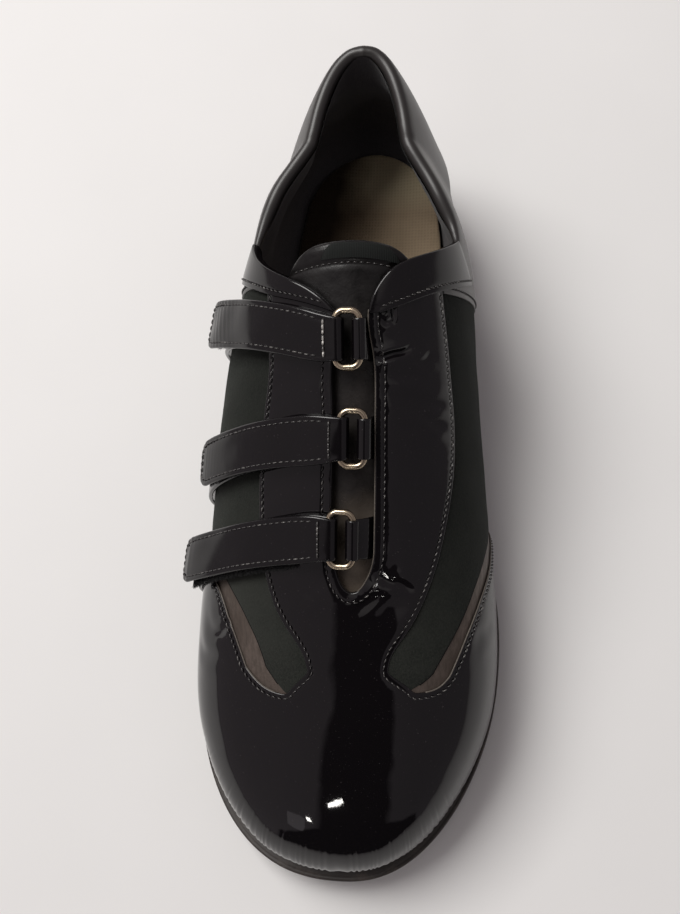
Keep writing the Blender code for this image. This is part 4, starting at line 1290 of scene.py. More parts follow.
def build_quarter():
    """The back of the shoe in one sheet, with a closed seam down the heel."""
    def top(side):
        t = np.linspace(78, 36, 60)
        r = np.concatenate([r_at(t), np.linspace(R_HEEL, 0, 60)[1:]])
        g = TOP_EDGE[side](r) + 1.6 * smooth_step(r, r_at(66), r_at(71))
        return Aft.flat(side, r, g)

    def front(side):
        t, g = INLAYS[side]["top"][0]
        t2 = INLAYS[side]["seam"][0][0]
        r, r2 = float(r_at(t)), float(r_at(t2))
        corner = top(side)[0]
        foot = Aft.flat(side, r2, float(skin.end(side, r2)))
        return np.array([corner, Aft.flat(side, r - 0.5, g + 0.3), foot])

    def bottom(side):
        r = np.linspace(float(r_at(INLAYS[side]["seam"][0][0])), 0, 120)
        return Aft.flat(side, r, skin.end(side, r))
    segments = [(top(LATERAL), ROLL), (top(MEDIAL)[::-1], ROLL), (front(MEDIAL), CUT),
                (bottom(MEDIAL), LOW), (bottom(LATERAL)[::-1], LOW), (front(LATERAL)[::-1], CUT)]
    seams = []
    for side in SIDES:
        line = resample(front(side)[1:], 1.0)
        seams.append(offset_line(line, side * 1.7))
        seams.append(np.stack([np.full(60, side * 2.4), np.linspace(12, 92, 60)], -1))
    sheet = Sheet(Aft, join(*segments), quarter_rise, seams, cell=1.4)
    add_sheet("quarter_patent", sheet, patent_collar(), "patent")
    for seam in seams:
        sew("quarter", sheet.place, clip_line(seam, sheet.points))


def build_wing(side, word):
    """The suede panel with its wing, and the pewter strip under its front edge."""
    rows = INLAYS[side]
    top = chart_curve(side, rows["top"])
    seam = chart_curve(side, rows["seam"])
    front = chart_curve(side, rows["front"])
    first = max(i for i, row in enumerate(rows["seam"]) if row[1] == SOLE_LINE)
    inner = chart_curve(side, rows["seam"], first)
    back = [Fore.flat(side, float(r_at(rows["top"][0][0])) - 3, rows["top"][0][1]),
            Fore.flat(side, float(r_at(rows["seam"][0][0])) - 3,
                      float(skin.end(side, r_at(rows["seam"][0][0]))))]
    hidden = offset_line(top, side * 2.6)
    tip = seam[-1] + unit(seam[-1] - seam[-3]) * 2.4
    tip2 = hidden[-1] + unit(hidden[-1] - hidden[-3]) * 1.5
    segments = [(np.array(back), HIDDEN), (np.concatenate([back[1:], seam]), CUT),
                (np.array([seam[-1], tip, tip2, hidden[-1]]), HIDDEN),
                (np.concatenate([hidden[::-1], back[:1]]), HIDDEN)]
    sheet = Sheet(Fore, join(*segments), suede_rise, cell=1.3, pillow=0.12)
    add_sheet("suede_" + word, sheet, suede_black_green(), "suede", ["suede_panel_" + word])
    # a black line along the suede's front edge: painted shade at its step over the pewter
    add_trim("suede_edge_" + word, sheet.place, inner[:-6], 0.20, -0.30, edge_shadow_painted(), "suede")
    under = offset_line(inner, side * 1.6)
    beyond = offset_line(front, -side * 2.2)
    ends = [unit(line[-1] - line[-3]) * 2.0 + line[-1] for line in (under, beyond)]
    segments = [(under, HIDDEN), (np.array([under[-1], ends[0], ends[1], beyond[-1]]), HIDDEN),
                (beyond[::-1], HIDDEN), (np.array([beyond[0], under[0]]), HIDDEN)]
    sheet = Sheet(Fore, join(*segments), pewter_rise, cell=0.9, pillow=0.0)
    add_sheet("pewter_" + word, sheet, pewter_leather(), "pewter", ["pewter_strip_" + word])


def build_cuff(side, word):
    """The band over the collar's front, rolled over the edge."""
    seam = chart_curve(side, CUFF_SEAM[side], count=120)
    top = edge_line(side, 71, 101)
    segments = [(top, CUFF_ROLL), (np.array([top[-1], seam[-1]]), CUT), (seam[::-1], CUT),
                (np.array([seam[0], top[0]]), CUT)]
    stitch = offset_line(seam, side * CUFF_INSET)
    sheet = Sheet(Fore, join(*segments), cuff_rise, [stitch], cell=1.1)
    add_sheet("cuff_%s_patent" % word, sheet, patent_strap(), "patent", ["cuff_" + word])
    sew("cuffs", sheet.place, clip_line(stitch, sheet.points))


def build_lining():
    """The inner face of the upper, from under the rolled edge down to the insole."""
    rs = np.concatenate([np.linspace(0, R_HEEL, 40)[:-1], np.linspace(R_HEEL, R_STRAIGHT, 110)[:-1],
                         np.linspace(R_STRAIGHT, R_END, 50)])
    share = np.linspace(0, 1, 60)[:, None] ** 1.3
    halves = {}
    for side in SIDES:
        top = TOP_EDGE[side](rs) + 1.0
        bottom = skin.end(side, rs)
        g = top + (bottom - top) * share
        below = g - top
        r = np.broadcast_to(rs, g.shape)
        pad = lining_pad(r)
        bulge = 1.6 * pad * np.exp(-((below - 11) / 7.5)**2)
        thin = (2 * collar_radius(r.reshape(-1, 1)).reshape(r.shape) - UPPER_WALL) * pad
        thin = thin * (1 - smooth_step(below, 14, 40))
        above = np.clip(1 - (bottom - g - 4.0) / 9.0, 0, 1)
        heel = HEEL_FILL * heel_fill(r) * (1 - np.sqrt(1 - above**2))
        depth = UPPER_WALL + thin + bulge + heel + 0.1 * smooth_step(share, 0, 0.02)
        halves[side] = skin.at(side, r, g, collar_flare(side, r, g) - depth)
    points = np.concatenate([halves[LATERAL], halves[MEDIAL][:, ::-1]], axis=1)
    faces = grid_faces(len(share), points.shape[1], flip=True, closed=True)
    weld(add_piece("lining", points.reshape(-1, 3), faces, lining_black(), "patent"))


def heel_fill(r):
    """1 at the very back, where the lining curves in to the insole, 0 at the sides."""
    return 1 - smooth_step(r, 0, 62)


def lining_pad(r):
    """1 where the collar is padded, 0 ahead of it."""
    return 1 - smooth_step(r, r_at(60), r_at(76))


# ---- tongue, insole and sole ----
def band(name, lines, to_edge, thick, corner, finish, slot, replaces=(), relief=0.0, up=None):
    """A closed strip of leather from its middle surface, stations x columns x 3.

    to_edge is each point's distance to the strip's edge, corner the length over which the strip
    thins out towards it, relief what its upper face adds; up is roughly outward.
    Returns the grid of points on its upper face, and their normals.
    """
    normal = unit(np.cross(np.gradient(lines, axis=0), np.gradient(lines, axis=1)))
    if up is not None and (normal * up).sum(-1).mean() < 0:
        normal = -normal
    near = 1 - np.clip(to_edge / corner, 0, 1)
    grow = np.sqrt(np.clip(1 - near**2, 0, 1))[..., None]
    top = lines + normal * (thick / 2 + np.asarray(relief)[..., None]) * grow
    low = lines - normal * thick / 2 * grow
    rows, columns = lines.shape[:2]
    count = rows * columns
    faces = grid_faces(rows, columns) + grid_faces(rows, columns, count, flip=True)
    points = np.concatenate([top.reshape(-1, 3), low.reshape(-1, 3)])
    weld(add_piece(name, points, faces, finish, slot, replaces))
    return top, normal


def build_tongue():
    """The padded tongue, with a stitched fold across its top end."""
    columns = spread(41)
    points = np.array(TONGUE, float)
    run = length_along(points)
    ts, widths = smooth_path(points, run, run[-1] * np.linspace(0, 1, 110) ** 1.4)
    g = columns * widths[:, None]
    lines = skin.at(np.where(g < 0, LATERAL, MEDIAL), r_at(ts)[:, None], abs(g),
                    TONGUE_OFF - TONGUE_THICK / 2)
    ahead = length_along(lines[:, 20])
    to_edge = np.minimum((1 - abs(columns)) * widths[:, None], ahead[:, None])
    fold = np.exp(-((ahead - TONGUE_FOLD) / 0.8)**2)
    cushion = 0.25 * np.sin(np.clip(ahead / TONGUE_FOLD, 0, 1) * pi) - 0.35 * fold
    relief = cushion[:, None] * smooth_step(to_edge, 0.5, 2.5)
    top, normal = band("tongue_patent", lines, to_edge, TONGUE_THICK, 1.4, tongue_black(), "patent",
                       ["tongue"], relief, up=UP)
    line = resample(top[np.argmin(abs(ahead - TONGUE_FOLD)), 6:-6], 0.5)
    sew_free("tongue", line, UP + 0 * line)
    build_tongue_tape(top, normal, ahead)


def sew_free(thread, line, up, pitch=STITCH_PITCH, length=STITCH_LENGTH, lift=0.1, thick=1.0):
    """A row of stitches along a line in space."""
    def place(flat, height):
        run = length_along(line)
        where = flat[..., 0]
        base = np.stack([np.interp(where, run, line[:, k]) for k in range(3)], -1)
        over = unit(np.stack([np.interp(where, run, up[:, k]) for k in range(3)], -1))
        return base + over * np.asarray(height)[..., None]
    total = length_along(line)[-1]
    sew(thread, place, np.array([[0.0, 0.0], [total, 0.0]]), pitch, length, lift, thick)


def build_tongue_tape(top, normal, ahead):
    """The plain woven patch sewn to the tongue's top edge."""
    start, stop = TAPE_ENDS
    rows = (ahead > start) & (ahead < stop)
    part = top[rows][:, TAPE_COLUMNS]
    lift = normal[rows][:, TAPE_COLUMNS]
    count = np.arange(part.shape[1])
    edge = np.minimum(np.minimum(count, count[::-1])[None, :] * 0.8,
                      np.minimum(ahead[rows] - start, stop - ahead[rows])[:, None])
    band("tongue_tape", part + lift * 0.15, edge, 0.5, 0.3, tape_plain(), "hook_and_loop", up=UP)


def bottom_line(inset):
    """The last's bottom edge as a closed loop, moved inwards by inset(r), and its r.

    The two sides' edges end a little apart at the toe tip, and are brought together there.
    """
    rs = np.concatenate([np.linspace(0, R_HEEL, 40)[:-1],
                         np.linspace(R_HEEL, R_STRAIGHT, 120)[:-1],
                         R_STRAIGHT + R_TOE * np.linspace(0, 1, 60)])
    lateral, medial = (skin.at(side, rs, skin.end(side, rs)) for side in SIDES)
    apart = (lateral[-1, 1] - medial[-1, 1]) / 2 * smooth_step(rs, R_END - TOE_EVENED, R_END)
    medial[:, 1] += apart
    lateral[:, 1] -= apart
    loop = np.concatenate([medial, lateral[-2:0:-1]])
    along = np.concatenate([rs, rs[-2:0:-1]])
    tangent = unit(np.roll(loop, -1, 0) - np.roll(loop, 1, 0))
    outward = unit(np.stack([-tangent[:, 1], tangent[:, 0], 0 * tangent[:, 0]], -1))
    if ((loop - (0, T_CENTRE, 0)) * outward).sum(1).mean() < 0:
        outward = -outward
    return loop - outward * inset(along)[:, None], along


def spine(along):
    """For each point of a loop, the point of the middle line that it shrinks to."""
    t = np.clip(T_HEEL + along - R_HEEL, T_HEEL, T_TOE)
    x = (half("foot", MEDIAL, t) - half("foot", LATERAL, t)) / 2 + COLUMN["bend"](t)
    return np.stack([x, t, 0 * t], -1)


def sole_edge(r):
    """How far the sole stands out past the upper."""
    front = smooth_step(r, R_HEEL, R_END)
    return SOLE_EDGE_HEEL + (SOLE_EDGE_TOE - SOLE_EDGE_HEEL) * front


def ground(t):
    """Height of the sole's underside: heel, arch, tread and toe spring."""
    arch = ARCH_RISE * smooth_step(t, 84, 108) * (1 - smooth_step(t, 112, 160))
    toe = TOE_SPRING * np.clip((t - 212) / (T_TIP - 212), 0, 1.1) ** 1.8
    back = 1.5 * np.clip((6 - t) / 6, 0, 1)
    return arch + toe + back


def feather(t):
    """Height of the last's bottom edge."""
    return COLUMN["feather"](np.clip(t, 5, T_TIP))


def rings_to_spine(loop, along, steps, height):
    """Rings of points from a loop in to its middle line; height(points, k) gives z."""
    centre = spine(along)
    rings = []
    for k in np.linspace(1, 0, steps + 1):
        ring = centre + (loop - centre) * k
        ring[:, 2] = height(ring, k)
        rings.append(ring)
    return rings


# the sole's side, top to bottom: share of the height, how far in from the rim
SOLE_PROFILE = ((0.000, 2.1), (0.004, 1.5), (0.016, 1.2), (0.006, 0.95), (0.000, 0.7), (0.008, 0.42),
                (0.030, 0.13), (0.070, 0.0), (0.13, -0.03), (0.19, 0.0), (0.225, 0.18), (0.24, 0.5),
                (0.262, 0.86), (0.29, 0.95), (0.318, 0.86), (0.34, 0.5), (0.355, 0.2), (0.39, 0.05),
                (0.46, 0.0), (0.56, 0.0), (0.68, 0.02), (0.80, 0.12), (0.90, 0.34), (0.955, 0.62),
                (0.985, 1.0), (1.0, 1.5))


def build_outsole():
    """The rubber unit: rim, side wall with its groove, and tread."""
    rings = []
    for share, tuck in SOLE_PROFILE:
        loop, along = bottom_line(lambda r: tuck - sole_edge(r))
        top = feather(loop[:, 1]) - SEAT_GAP + RIM_RISE
        low = ground(loop[:, 1])
        loop[:, 2] = top + (low - top) * share
        rings.append(loop)
    inner = rings_to_spine(rings[0], along, 10, lambda p, k: feather(p[:, 1]) - SEAT_GAP
                           + RIM_RISE * smooth_step(k, 0.93, 1.0))
    under = rings_to_spine(rings[-1], along, 24, lambda p, k: ground(p[:, 1]))
    rings = inner[:0:-1] + rings + under[1:]
    faces = grid_faces(len(rings), len(rings[0]), closed=True)
    sole = add_piece("outsole_rubber", np.concatenate(rings), faces, rubber_black(), "rubber", ["outsole"])
    weld(sole)
    cut_tread(sole)


def cut_tread(sole):
    """Cuts the grooves of the tread across heel and forefoot, with bevelled corners."""
    points, faces = [], []
    w = TREAD_WIDTH / 2
    for t in np.concatenate(TREAD_PLACES):
        top = float(ground(t)) + TREAD_DEPTH
        outline = [(-w - TREAD_BEVEL, -3.0), (w + TREAD_BEVEL, -3.0), (w, top - TREAD_BEVEL),
                   (w - TREAD_BEVEL, top), (TREAD_BEVEL - w, top), (-w, top - TREAD_BEVEL)]
        n = len(points)
        for x in (-62, 62):
            points += [(x, t + y, z) for y, z in outline]
        faces.append(tuple(n + i for i in range(6)))
        faces.append(tuple(n + 6 + i for i in range(5, -1, -1)))
        faces += [(n + i, n + 6 + i, n + 6 + (i + 1) % 6, n + (i + 1) % 6) for i in range(6)]
    cutter = put_mesh("tread_cutter", to_world(points), faces)
    weld(cutter)
    modifier = sole.modifiers.new("tread", "BOOLEAN")
    modifier.operation = "DIFFERENCE"
    modifier.solver = "EXACT"
    modifier.object = cutter
    bpy.context.view_layer.update()
    done = bpy.data.meshes.new_from_object(sole.evaluated_get(bpy.context.evaluated_depsgraph_get()))
    sole.modifiers.clear()
    sole.data = done
    bpy.data.objects.remove(cutter)
    done.shade_smooth()
    done.set_sharp_from_angle(angle=0.7)


def build_insole():
    """The sock over the footbed, raised round the heel and a little hollow underfoot."""
    def cup(t, k):
        back = 1.8 * k**6 * (1 - smooth_step(t, 14, 44))
        return back + 1.6 * k**3 * (1 - smooth_step(t, 90, 140))

    def height(p, k):
        soft_corner = 0.7 * smooth_step(k, 0.96, 1.0) ** 2
        unevenness = 0.12 * waves(p[:, 0], p[:, 1], 41, 30)
        return feather(p[:, 1]) + INSOLE_THICK + cup(p[:, 1], k) - soft_corner + unevenness
    loop, along = bottom_line(lambda r: UPPER_WALL + INSOLE_GAP + HEEL_FILL * heel_fill(r))
    low = rings_to_spine(loop, along, 3, lambda p, k: feather(p[:, 1]))
    high = rings_to_spine(loop, along, 44, height)
    rings = low[::-1] + high
    faces = grid_faces(len(rings), len(loop), closed=True)
    points = np.concatenate(rings)
    weld(add_piece("insole_sock", points, faces, insole_cloth(), "insole_cloth", ["insole"]))


# ---- straps, rings and tabs ----
class Ring:
    """A ring's place: its middle, and the directions along, to the side and up."""

    def __init__(self, t, shift):
        side = LATERAL if shift < 0 else MEDIAL
        r = float(r_at(t))
        base = skin.at(side, r, abs(shift))
        self.up = unit(skin.at(side, r, abs(shift), 1.0) - base)
        self.middle = base + self.up * RING_LIFT
        fore = skin.at(side, r + 4, abs(shift)) - skin.at(side, r - 4, abs(shift))
        self.along = unit(fore - self.up * np.dot(fore, self.up))
        self.inward = np.cross(self.along, self.up)
        if self.inward[0] < 0:
            self.inward = -self.inward

    def point(self, along, inward, up):
        along, inward, up = np.broadcast_arrays(along, inward, up)
        return (self.middle + along[..., None] * self.along + inward[..., None] * self.inward
                + up[..., None] * self.up)


def build_ring(ring, number):
    """An oval wire ring, straight along its long sides."""
    steps, sides = 96, 20
    turn = 2 * pi * (np.arange(steps) + 0.5) / steps
    out = np.where(np.sin(turn) > 0, BAR_HALF, -BAR_HALF)
    aside = np.where(np.cos(turn) > 0, BAR - RING_CORNER, RING_CORNER - BAR)
    spin = 2 * pi * np.arange(sides) / sides
    grow = RING_WIRE / 2 * np.cos(spin)
    along = (out + RING_CORNER * np.sin(turn))[:, None] + np.sin(turn)[:, None] * grow
    inward = (aside + RING_CORNER * np.cos(turn))[:, None] + np.cos(turn)[:, None] * grow
    points = ring.point(along, inward, RING_WIRE / 2 * np.sin(spin))
    faces = grid_faces(steps, sides, closed=True)
    last = (steps - 1) * sides
    faces += [(last + j, last + (j + 1) % sides, (j + 1) % sides, j) for j in range(sides)]
    weld(add_piece("ring_%d_metal" % number, points.reshape(-1, 3), faces, ring_metal(), "ring_metal",
                   ["ring_%d" % number]))


def rounded(distance, width, corner):
    """Half the width of a band at a distance from its rounded end."""
    x = np.clip(1 - np.asarray(distance, float) / corner, 0, 1)
    return (width / 2 - corner) + corner * np.sqrt(np.clip(1 - x * x, 0, 1))


def strap_middle(row):
    """r of a strap's centre line as a function of g."""
    near, mid, far = row["middle"]
    return spline(((8, r_at(near)), (32, r_at(mid)), (60, r_at(far)),
                   (84, r_at(far + (far - mid) * 0.5))))


NECK = 12.6               # strap's width where it passes the ring
CORNER = 5.0              # corner radius of a strap's loose end
LOWER_ROWS = 46           # stations of a strap's run below, from where it is sewn on to the ring
TURN_ROWS = 19            # and round the ring
UPPER_ROW = LOWER_ROWS + TURN_ROWS
ON_RING = 99.0            # stands for "far from the ends"
UNDER = 1.5 * GAP + STRAP_THICK / 2     # height of the lower run's middle surface over the last
# ribs pressed across the loose ends: depth, spacing, how far from the tip they reach
RIBS = {1: (0.11, 1.15, 19.0), 2: (0.09, 1.7, 14.0), 3: (0.08, 2.6, 8.0)}


def strap_surface(row, ring):
    """A strap's middle surface, its columns, the distance to its edge, its half widths and the
    distance to its nearer end.
    """
    middle = strap_middle(row)
    columns = spread(33)
    over = UNDER + STRAP_THICK + PAD_THICK + 2 * GAP
    wrap = RING_WIRE / 2 + WRAP_GAP + STRAP_THICK / 2
    near, far = row["width"]
    fold_g = BAR - row["shift"]
    tip = row["end"]
    lines, halves, gap = [], [], []

    def on_skin(g, off, half_width, to_end):
        lines.append(skin.at(LATERAL, middle(g) + columns * half_width, np.full(33, g), off))
        halves.append(half_width)
        gap.append(to_end)

    for g in np.linspace(row["root"], fold_g + 2.5, LOWER_ROWS):
        width = NECK + (near - NECK) * smooth_step(g, fold_g, fold_g + 9)
        on_skin(g, UNDER, width / 2, row["root"] - g)
    for turn in np.linspace(-pi / 2, pi / 2, TURN_ROWS + 2)[1:-1]:
        inward = -BAR + wrap * cos(turn)
        lines.append(ring.point(columns * NECK / 2, inward, wrap * sin(turn)))
        halves.append(NECK / 2)
        gap.append(ON_RING)
    tail = 6 * (1 - np.sin(np.linspace(0, pi / 2, 16)[1:]))
    for g in np.concatenate([np.linspace(fold_g + 2.5, tip - 6, 62), tip - tail]):
        lift = over + (RING_LIFT + wrap - over) * (1 - smooth_step(g, fold_g, fold_g + 14))
        lift += row["flare"] * smooth_step(g, tip - 22, tip)
        width = near + (far - near) * smooth_step(g, fold_g, tip - 10)
        width -= (near - NECK) * (1 - smooth_step(g, fold_g, fold_g + 9))
        on_skin(g, lift, float(rounded(tip - g, width, CORNER)), tip - g)
    lines = np.array(lines)
    for _ in range(6):
        lines[1:-16] = (lines[:-17] + 2 * lines[1:-16] + lines[2:-15]) / 4
    halves, gap = np.array(halves), np.array(gap)
    to_edge = np.minimum((1 - abs(columns)) * halves[:, None], gap[:, None])
    return lines, columns, to_edge, halves, gap


def build_strap(row, ring, number):
    """A strap sewn down at the outer side, up through the ring and back on itself."""
    lines, columns, to_edge, halves, gap = strap_surface(row, ring)
    upper = np.arange(len(lines)) >= UPPER_ROW
    depth, pace, reach = RIBS[number]
    run = gap[:, None] + 0.5 * columns
    ribs = depth * np.cos(run * 2 * pi / pace) * np.exp(-((run - reach * 0.5) / (reach * 0.35))**2)
    ribs = ribs * (1 + 1.2 * smooth_step(-columns, 0.5, 0.9))
    unevenness = 0.10 * waves(run, columns * 6.5, 50 + number, 12)
    seam = -0.12 * np.exp(-((to_edge - STRAP_INSET) / 0.4)**2)
    belly = 0.12 * smooth_step(to_edge, 1.8, 4.0)
    relief = np.where(upper[:, None], ribs + unevenness + seam + belly, 0.0)
    top, normal = band("strap_%d_patent" % number, lines, to_edge, STRAP_THICK + 0.2, 0.6, patent_strap(),
                       "patent", ["strap_%d" % number], relief, up=strap_up(lines))
    sew_strap(top, normal, columns, halves, gap, number)


def strap_up(lines):
    """Outward on the outer run of a strap and inward on the run below it."""
    up = np.broadcast_to(OUT_AND_UP, lines.shape).copy()
    up[:LOWER_ROWS] *= -1
    up[LOWER_ROWS:UPPER_ROW] = 0
    return up


def sew_strap(top, normal, columns, halves, gap, number):
    """The edge stitching, down one side, round the end and up the other, and a row at the ring."""
    start = UPPER_ROW + 2
    path = []
    ends = np.arange(start, len(halves))
    width = halves[ends[gap[ends] > CORNER + 1]][-1] * 2
    for sign in (1, -1):
        line = []
        for s in ends[gap[ends] > CORNER]:
            line.append((s, sign * (halves[s] - STRAP_INSET)))
        for a in np.linspace(0, pi / 2, 9)[1:]:
            distance = CORNER - (CORNER - STRAP_INSET) * sin(a)
            across = width / 2 - CORNER + (CORNER - STRAP_INSET) * cos(a)
            line.append((np.interp(-distance, -gap[ends], ends), sign * across))
        path += line if sign == 1 else line[::-1]
    across = [(start - 1.4, place) for place in np.linspace(path[-1][1] - 0.5, path[0][1] + 0.5, 13)]

    def on_strap(rows):
        points, ups = [], []
        for s, place in rows:
            i = min(int(s), len(top) - 2)
            f = s - i
            share = place / np.interp(s, np.arange(len(halves)), halves)
            c = np.interp(share, columns, np.arange(len(columns)))
            j = min(int(c), len(columns) - 2)
            h = c - j
            mixed = [(1 - h) * grid[:, j] + h * grid[:, j + 1] for grid in (top, normal)]
            points.append(mixed[0][i] * (1 - f) + mixed[0][i + 1] * f)
            ups.append(mixed[1][i] * (1 - f) + mixed[1][i + 1] * f)
        return np.array(points), unit(np.array(ups))
    sew_free("straps", *on_strap(path), pitch=2.1, length=1.6, lift=0.2)
    # the top strap's row gets the thread with painted glints
    thread = "strap_end" if number == 1 else "straps"
    sew_free(thread, *on_strap(across), pitch=1.55, length=1.45, lift=0.3, thick=1.7)


PAD_REACH = 30.0          # how far a fastener's tape starts from the strap's loose end
PAD_INSET = 3.2           # and how far short of it the tape stops
LOOSE_PAD = 3             # its loops have come loose, mostly on the toe side, and further up


def build_fastener(row, number):
    """Hook-and-loop tape under a strap's loose end, with its fuzzy sides."""
    middle = strap_middle(row)
    near = row["width"][0]
    low = UNDER + STRAP_THICK / 2 + GAP
    tip = row["end"]
    columns = np.linspace(-1, 1, 15)
    gs = np.linspace(tip - PAD_REACH, tip - PAD_INSET, 40)
    lift = row["flare"] * smooth_step(gs, tip - 22, tip) * 0.6
    lines = np.array([skin.at(LATERAL, middle(g) + columns * (near / 2 - 0.7), np.full(15, g),
                              low + PAD_THICK / 2 + up) for g, up in zip(gs, lift)])
    to_edge = np.minimum((1 - abs(columns)) * near / 2, np.minimum(gs - gs[0], gs[-1] - gs)[:, None])
    band("fastener_%d_tape" % number, lines, to_edge, PAD_THICK, 0.3, hook_tape(), "hook_and_loop",
         ["fastener_%d" % number], up=OUT_AND_UP)
    add_fuzz("fastener_%d_fuzz" % number, middle, near / 2 - 0.6, gs, low + 0.1 + lift, number)


def add_fuzz(name, middle, half_width, gs, base, number):
    """Loose loops and hairs along the sides of the tape."""
    random = np.random.default_rng(90 + number)
    loose = number == LOOSE_PAD
    count, further, shares = (2600, 16, [0.2, 0.8]) if loose else (900, 0, [0.5, 0.5])
    g = random.uniform(gs[0] - further, gs[-1], count)
    sign = random.choice([-1.0, 1.0], count, p=shares)
    start = middle(g) + sign * (half_width - random.uniform(0, 0.5, count))
    out = sign * random.uniform(0.3, 1.15, count) * 0.8
    if loose:
        out = np.where(sign > 0, random.uniform(0.9, 2.9, count), out)
    drift = random.uniform(-0.8, 0.8, count)
    height = np.interp(g, gs, base) + random.uniform(0, 0.7, count)
    sag = random.uniform(-0.7, 0.3, count)
    s = np.linspace(0, 1, 5)[None]
    beside = start[:, None] + out[:, None] * np.sin(s * 2.2)
    lines = skin.at(LATERAL, beside, g[:, None] + drift[:, None] * s,
                    height[:, None] + sag[:, None] * s**2)
    radius = 0.045 * (1.1 - 0.5 * s) + 0 * lines[..., 0]
    points, faces = tubes(lines, np.broadcast_to(np.array([0.1, 0.9, 0.4]), lines.shape), radius, 4)
    add_piece(name, points, faces, hook_tape(), "hook_and_loop")


def build_tab(row, ring, number):
    """A short loop that holds the ring's inner bar under the eyestay's edge."""
    columns = spread(21)
    half_width = BAR_HALF + 0.45
    wrap = RING_WIRE / 2 + WRAP_GAP + TAB_THICK / 2
    under = -(UPPER_WALL + 2 * GAP + TAB_THICK / 2)
    r = float(r_at(row["ring"]))
    across = columns * half_width
    lines = [skin.at(MEDIAL, r + across, np.full(21, g), under) for g in np.linspace(15, 9, 8)]
    edge = TOP_EDGE[MEDIAL](r + across)
    turn_up = ((0.3, under - 0.05), (-0.35, under + 0.05), (-0.7, under + 0.4), (-0.85, under + 0.9),
               (-0.9, -1.4), (-0.9, -0.7))
    for beside, off in turn_up:
        lines.append(skin.at(MEDIAL, r + across, edge + beside, off))
    for turn in np.linspace(-0.75, -5.9, 40):
        lines.append(ring.point(across, BAR + wrap * cos(turn), wrap * sin(turn)))
    lines = np.array(lines)
    for _ in range(3):
        lines[1:-1] = (lines[:-2] + 2 * lines[1:-1] + lines[2:]) / 4
    run = length_along(lines[:, 10])
    to_edge = np.minimum((1 - abs(columns)) * half_width, np.minimum(run, run[-1] - run)[:, None] + 0.2)
    band("ring_tab_%d_patent" % number, lines, to_edge, TAB_THICK + 0.1, 0.4, patent_black(), "patent",
         ["ring_tab_%d" % number])


# ---- stage ----
CAMERA_PLACE = (0.0390, -0.0785, 0.3595)
CAMERA_AIM = (-0.0020, 0.0030, 0.0400)
CAMERA_UP = (-0.0239, 0.9783, 0.2055)
CAMERA_LENS = 39.5        # for a long side of 36 mm


def build_camera():
    """Looks steeply down on the shoe, from over its forefoot."""
    data = bpy.data.cameras.new("camera")
    data.lens = CAMERA_LENS
    data.sensor_fit = "AUTO"
    data.sensor_width = 36
    data.clip_start = 0.01
    camera = put("camera", data)
    back = (Vector(CAMERA_PLACE) - Vector(CAMERA_AIM)).normalized()
    right = Vector(CAMERA_UP).cross(back).normalized()
    up = back.cross(right)
    turn = Matrix((right, up, back)).transposed().to_4x4()
    camera.matrix_world = Matrix.Translation(CAMERA_PLACE) @ turn
    bpy.context.scene.camera = camera


def build_floor():
    """A wide, flat, pale floor."""
    radii = (0.0, 0.3, 1.0, 2.0, 4.0, 8.0, 16.0)
    sides = 64
    turns = [2 * pi * j / sides for j in range(sides)]
    points = [(radius * cos(turn), radius * sin(turn), 0.0) for radius in radii for turn in turns]
    floor = put_mesh("floor", points, grid_faces(len(radii), sides, closed=True))
    floor.data.shade_smooth()
    weld(floor)
    floor.data.materials.append(floor_pale())


# softboxes and lamps: azimuth from +Y towards +X, elevation, distance, width, height, roll, watts, warmth
LIGHTS = (
    ("key", -48, 57, 1.6, 0.9, 0.9, 0, 22.5, (1.0, 0.985, 0.96)),
    ("window", -174, 31, 1.6, 0.15, 0.034, 25, 0.50, (1.0, 0.97, 0.92)),
    ("lamp", -163.5, 22.2, 1.6, 0.05, 0.05, 20, 0.25, (1.0, 0.97, 0.92)),
    ("pane", -158, 17.5, 1.6, 0.22, 0.20, 8, 0.05, (1.0, 0.93, 0.97)),
)
LIGHT_AIM = Vector((0, -0.02, 0.04))
SCREEN_SHIFT = -0.03
SCREEN_SPREAD = (0.62, 0.30)      # half the dark screen's width at a distance of 1, low down and higher


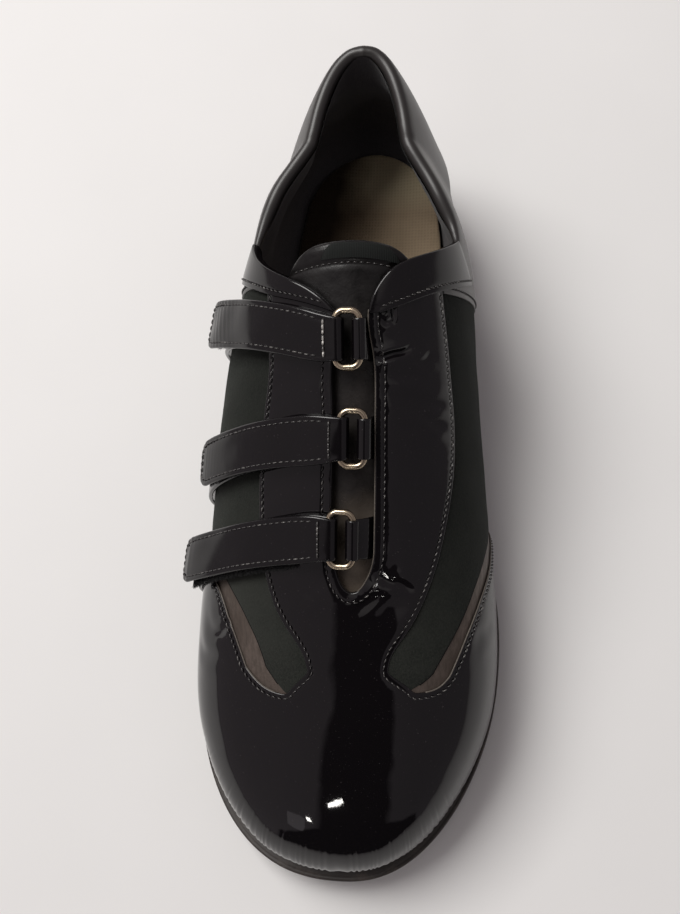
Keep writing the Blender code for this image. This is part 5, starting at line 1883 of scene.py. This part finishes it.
def build_lights():
    """Each lamp looks at the shoe from its own direction."""
    for name, azimuth, elevation, distance, width, height, roll, watts, colour in LIGHTS:
        data = bpy.data.lights.new(name, "AREA")
        data.shape = "RECTANGLE"
        data.size, data.size_y = width, height
        data.energy = watts
        data.color = colour
        lamp = put(name, data)
        a, e = radians(azimuth), radians(elevation)
        away = Vector((sin(a) * cos(e), cos(a) * cos(e), sin(e)))
        lamp.location = LIGHT_AIM + away * distance
        lamp.rotation_mode = "QUATERNION"
        lamp.rotation_quaternion = away.to_track_quat("Z", "Y") @ Quaternion((0, 0, 1), radians(roll))


def build_world():
    """An even room, dimmer to the inner side, with a tall dark screen beyond the toe."""
    world = bpy.data.worlds.new("room")
    bpy.context.scene.world = world
    sky = Graph(world, "Background", "Generated")
    x, y, z = sky.split()
    room = sky.mix(sky.ramp(x, -0.7, 0.5), (0.318, 0.284, 0.297), (0.212, 0.192, 0.204))
    room = sky.mix(sky.ramp(z, 0.85, 1.0), room, (0.50, 0.47, 0.46))
    away = sky.maths("ABSOLUTE", sky.maths("ADD", x, SCREEN_SHIFT), 0)
    spread = sky.maths("ADD", sky.ramp(z, 0.12, 0.34, *SCREEN_SPREAD), sky.ramp(z, 0.6, 0.85, 0, 0.2))
    within = sky.maths("MULTIPLY", sky.maths("MULTIPLY", y, -1), spread)
    within = sky.maths("SUBTRACT", within, away)
    screen = sky.mix(sky.ramp(within, -0.01, 0.04), room, (0.03, 0.028, 0.03))
    sky.set(Color=screen, Strength=1.0)


def build_shoe():
    """All pieces, in a fixed order, and last the stitches that they have gathered."""
    build_vamp()
    build_quarter()
    for side, word in SIDES.items():
        build_wing(side, word)
        build_cuff(side, word)
    build_lining()
    build_tongue()
    build_insole()
    build_outsole()
    for number, values in enumerate(STRAPS, 1):
        row = dict(zip(STRAP_COLUMNS, values))
        ring = Ring(row["ring"], row["shift"])
        build_ring(ring, number)
        build_strap(row, ring, number)
        build_fastener(row, number)
        build_tab(row, ring, number)
    add_threads()


build_camera()
build_shoe()
build_floor()
build_lights()
build_world()
bpy.context.scene.view_settings.view_transform = "Standard"
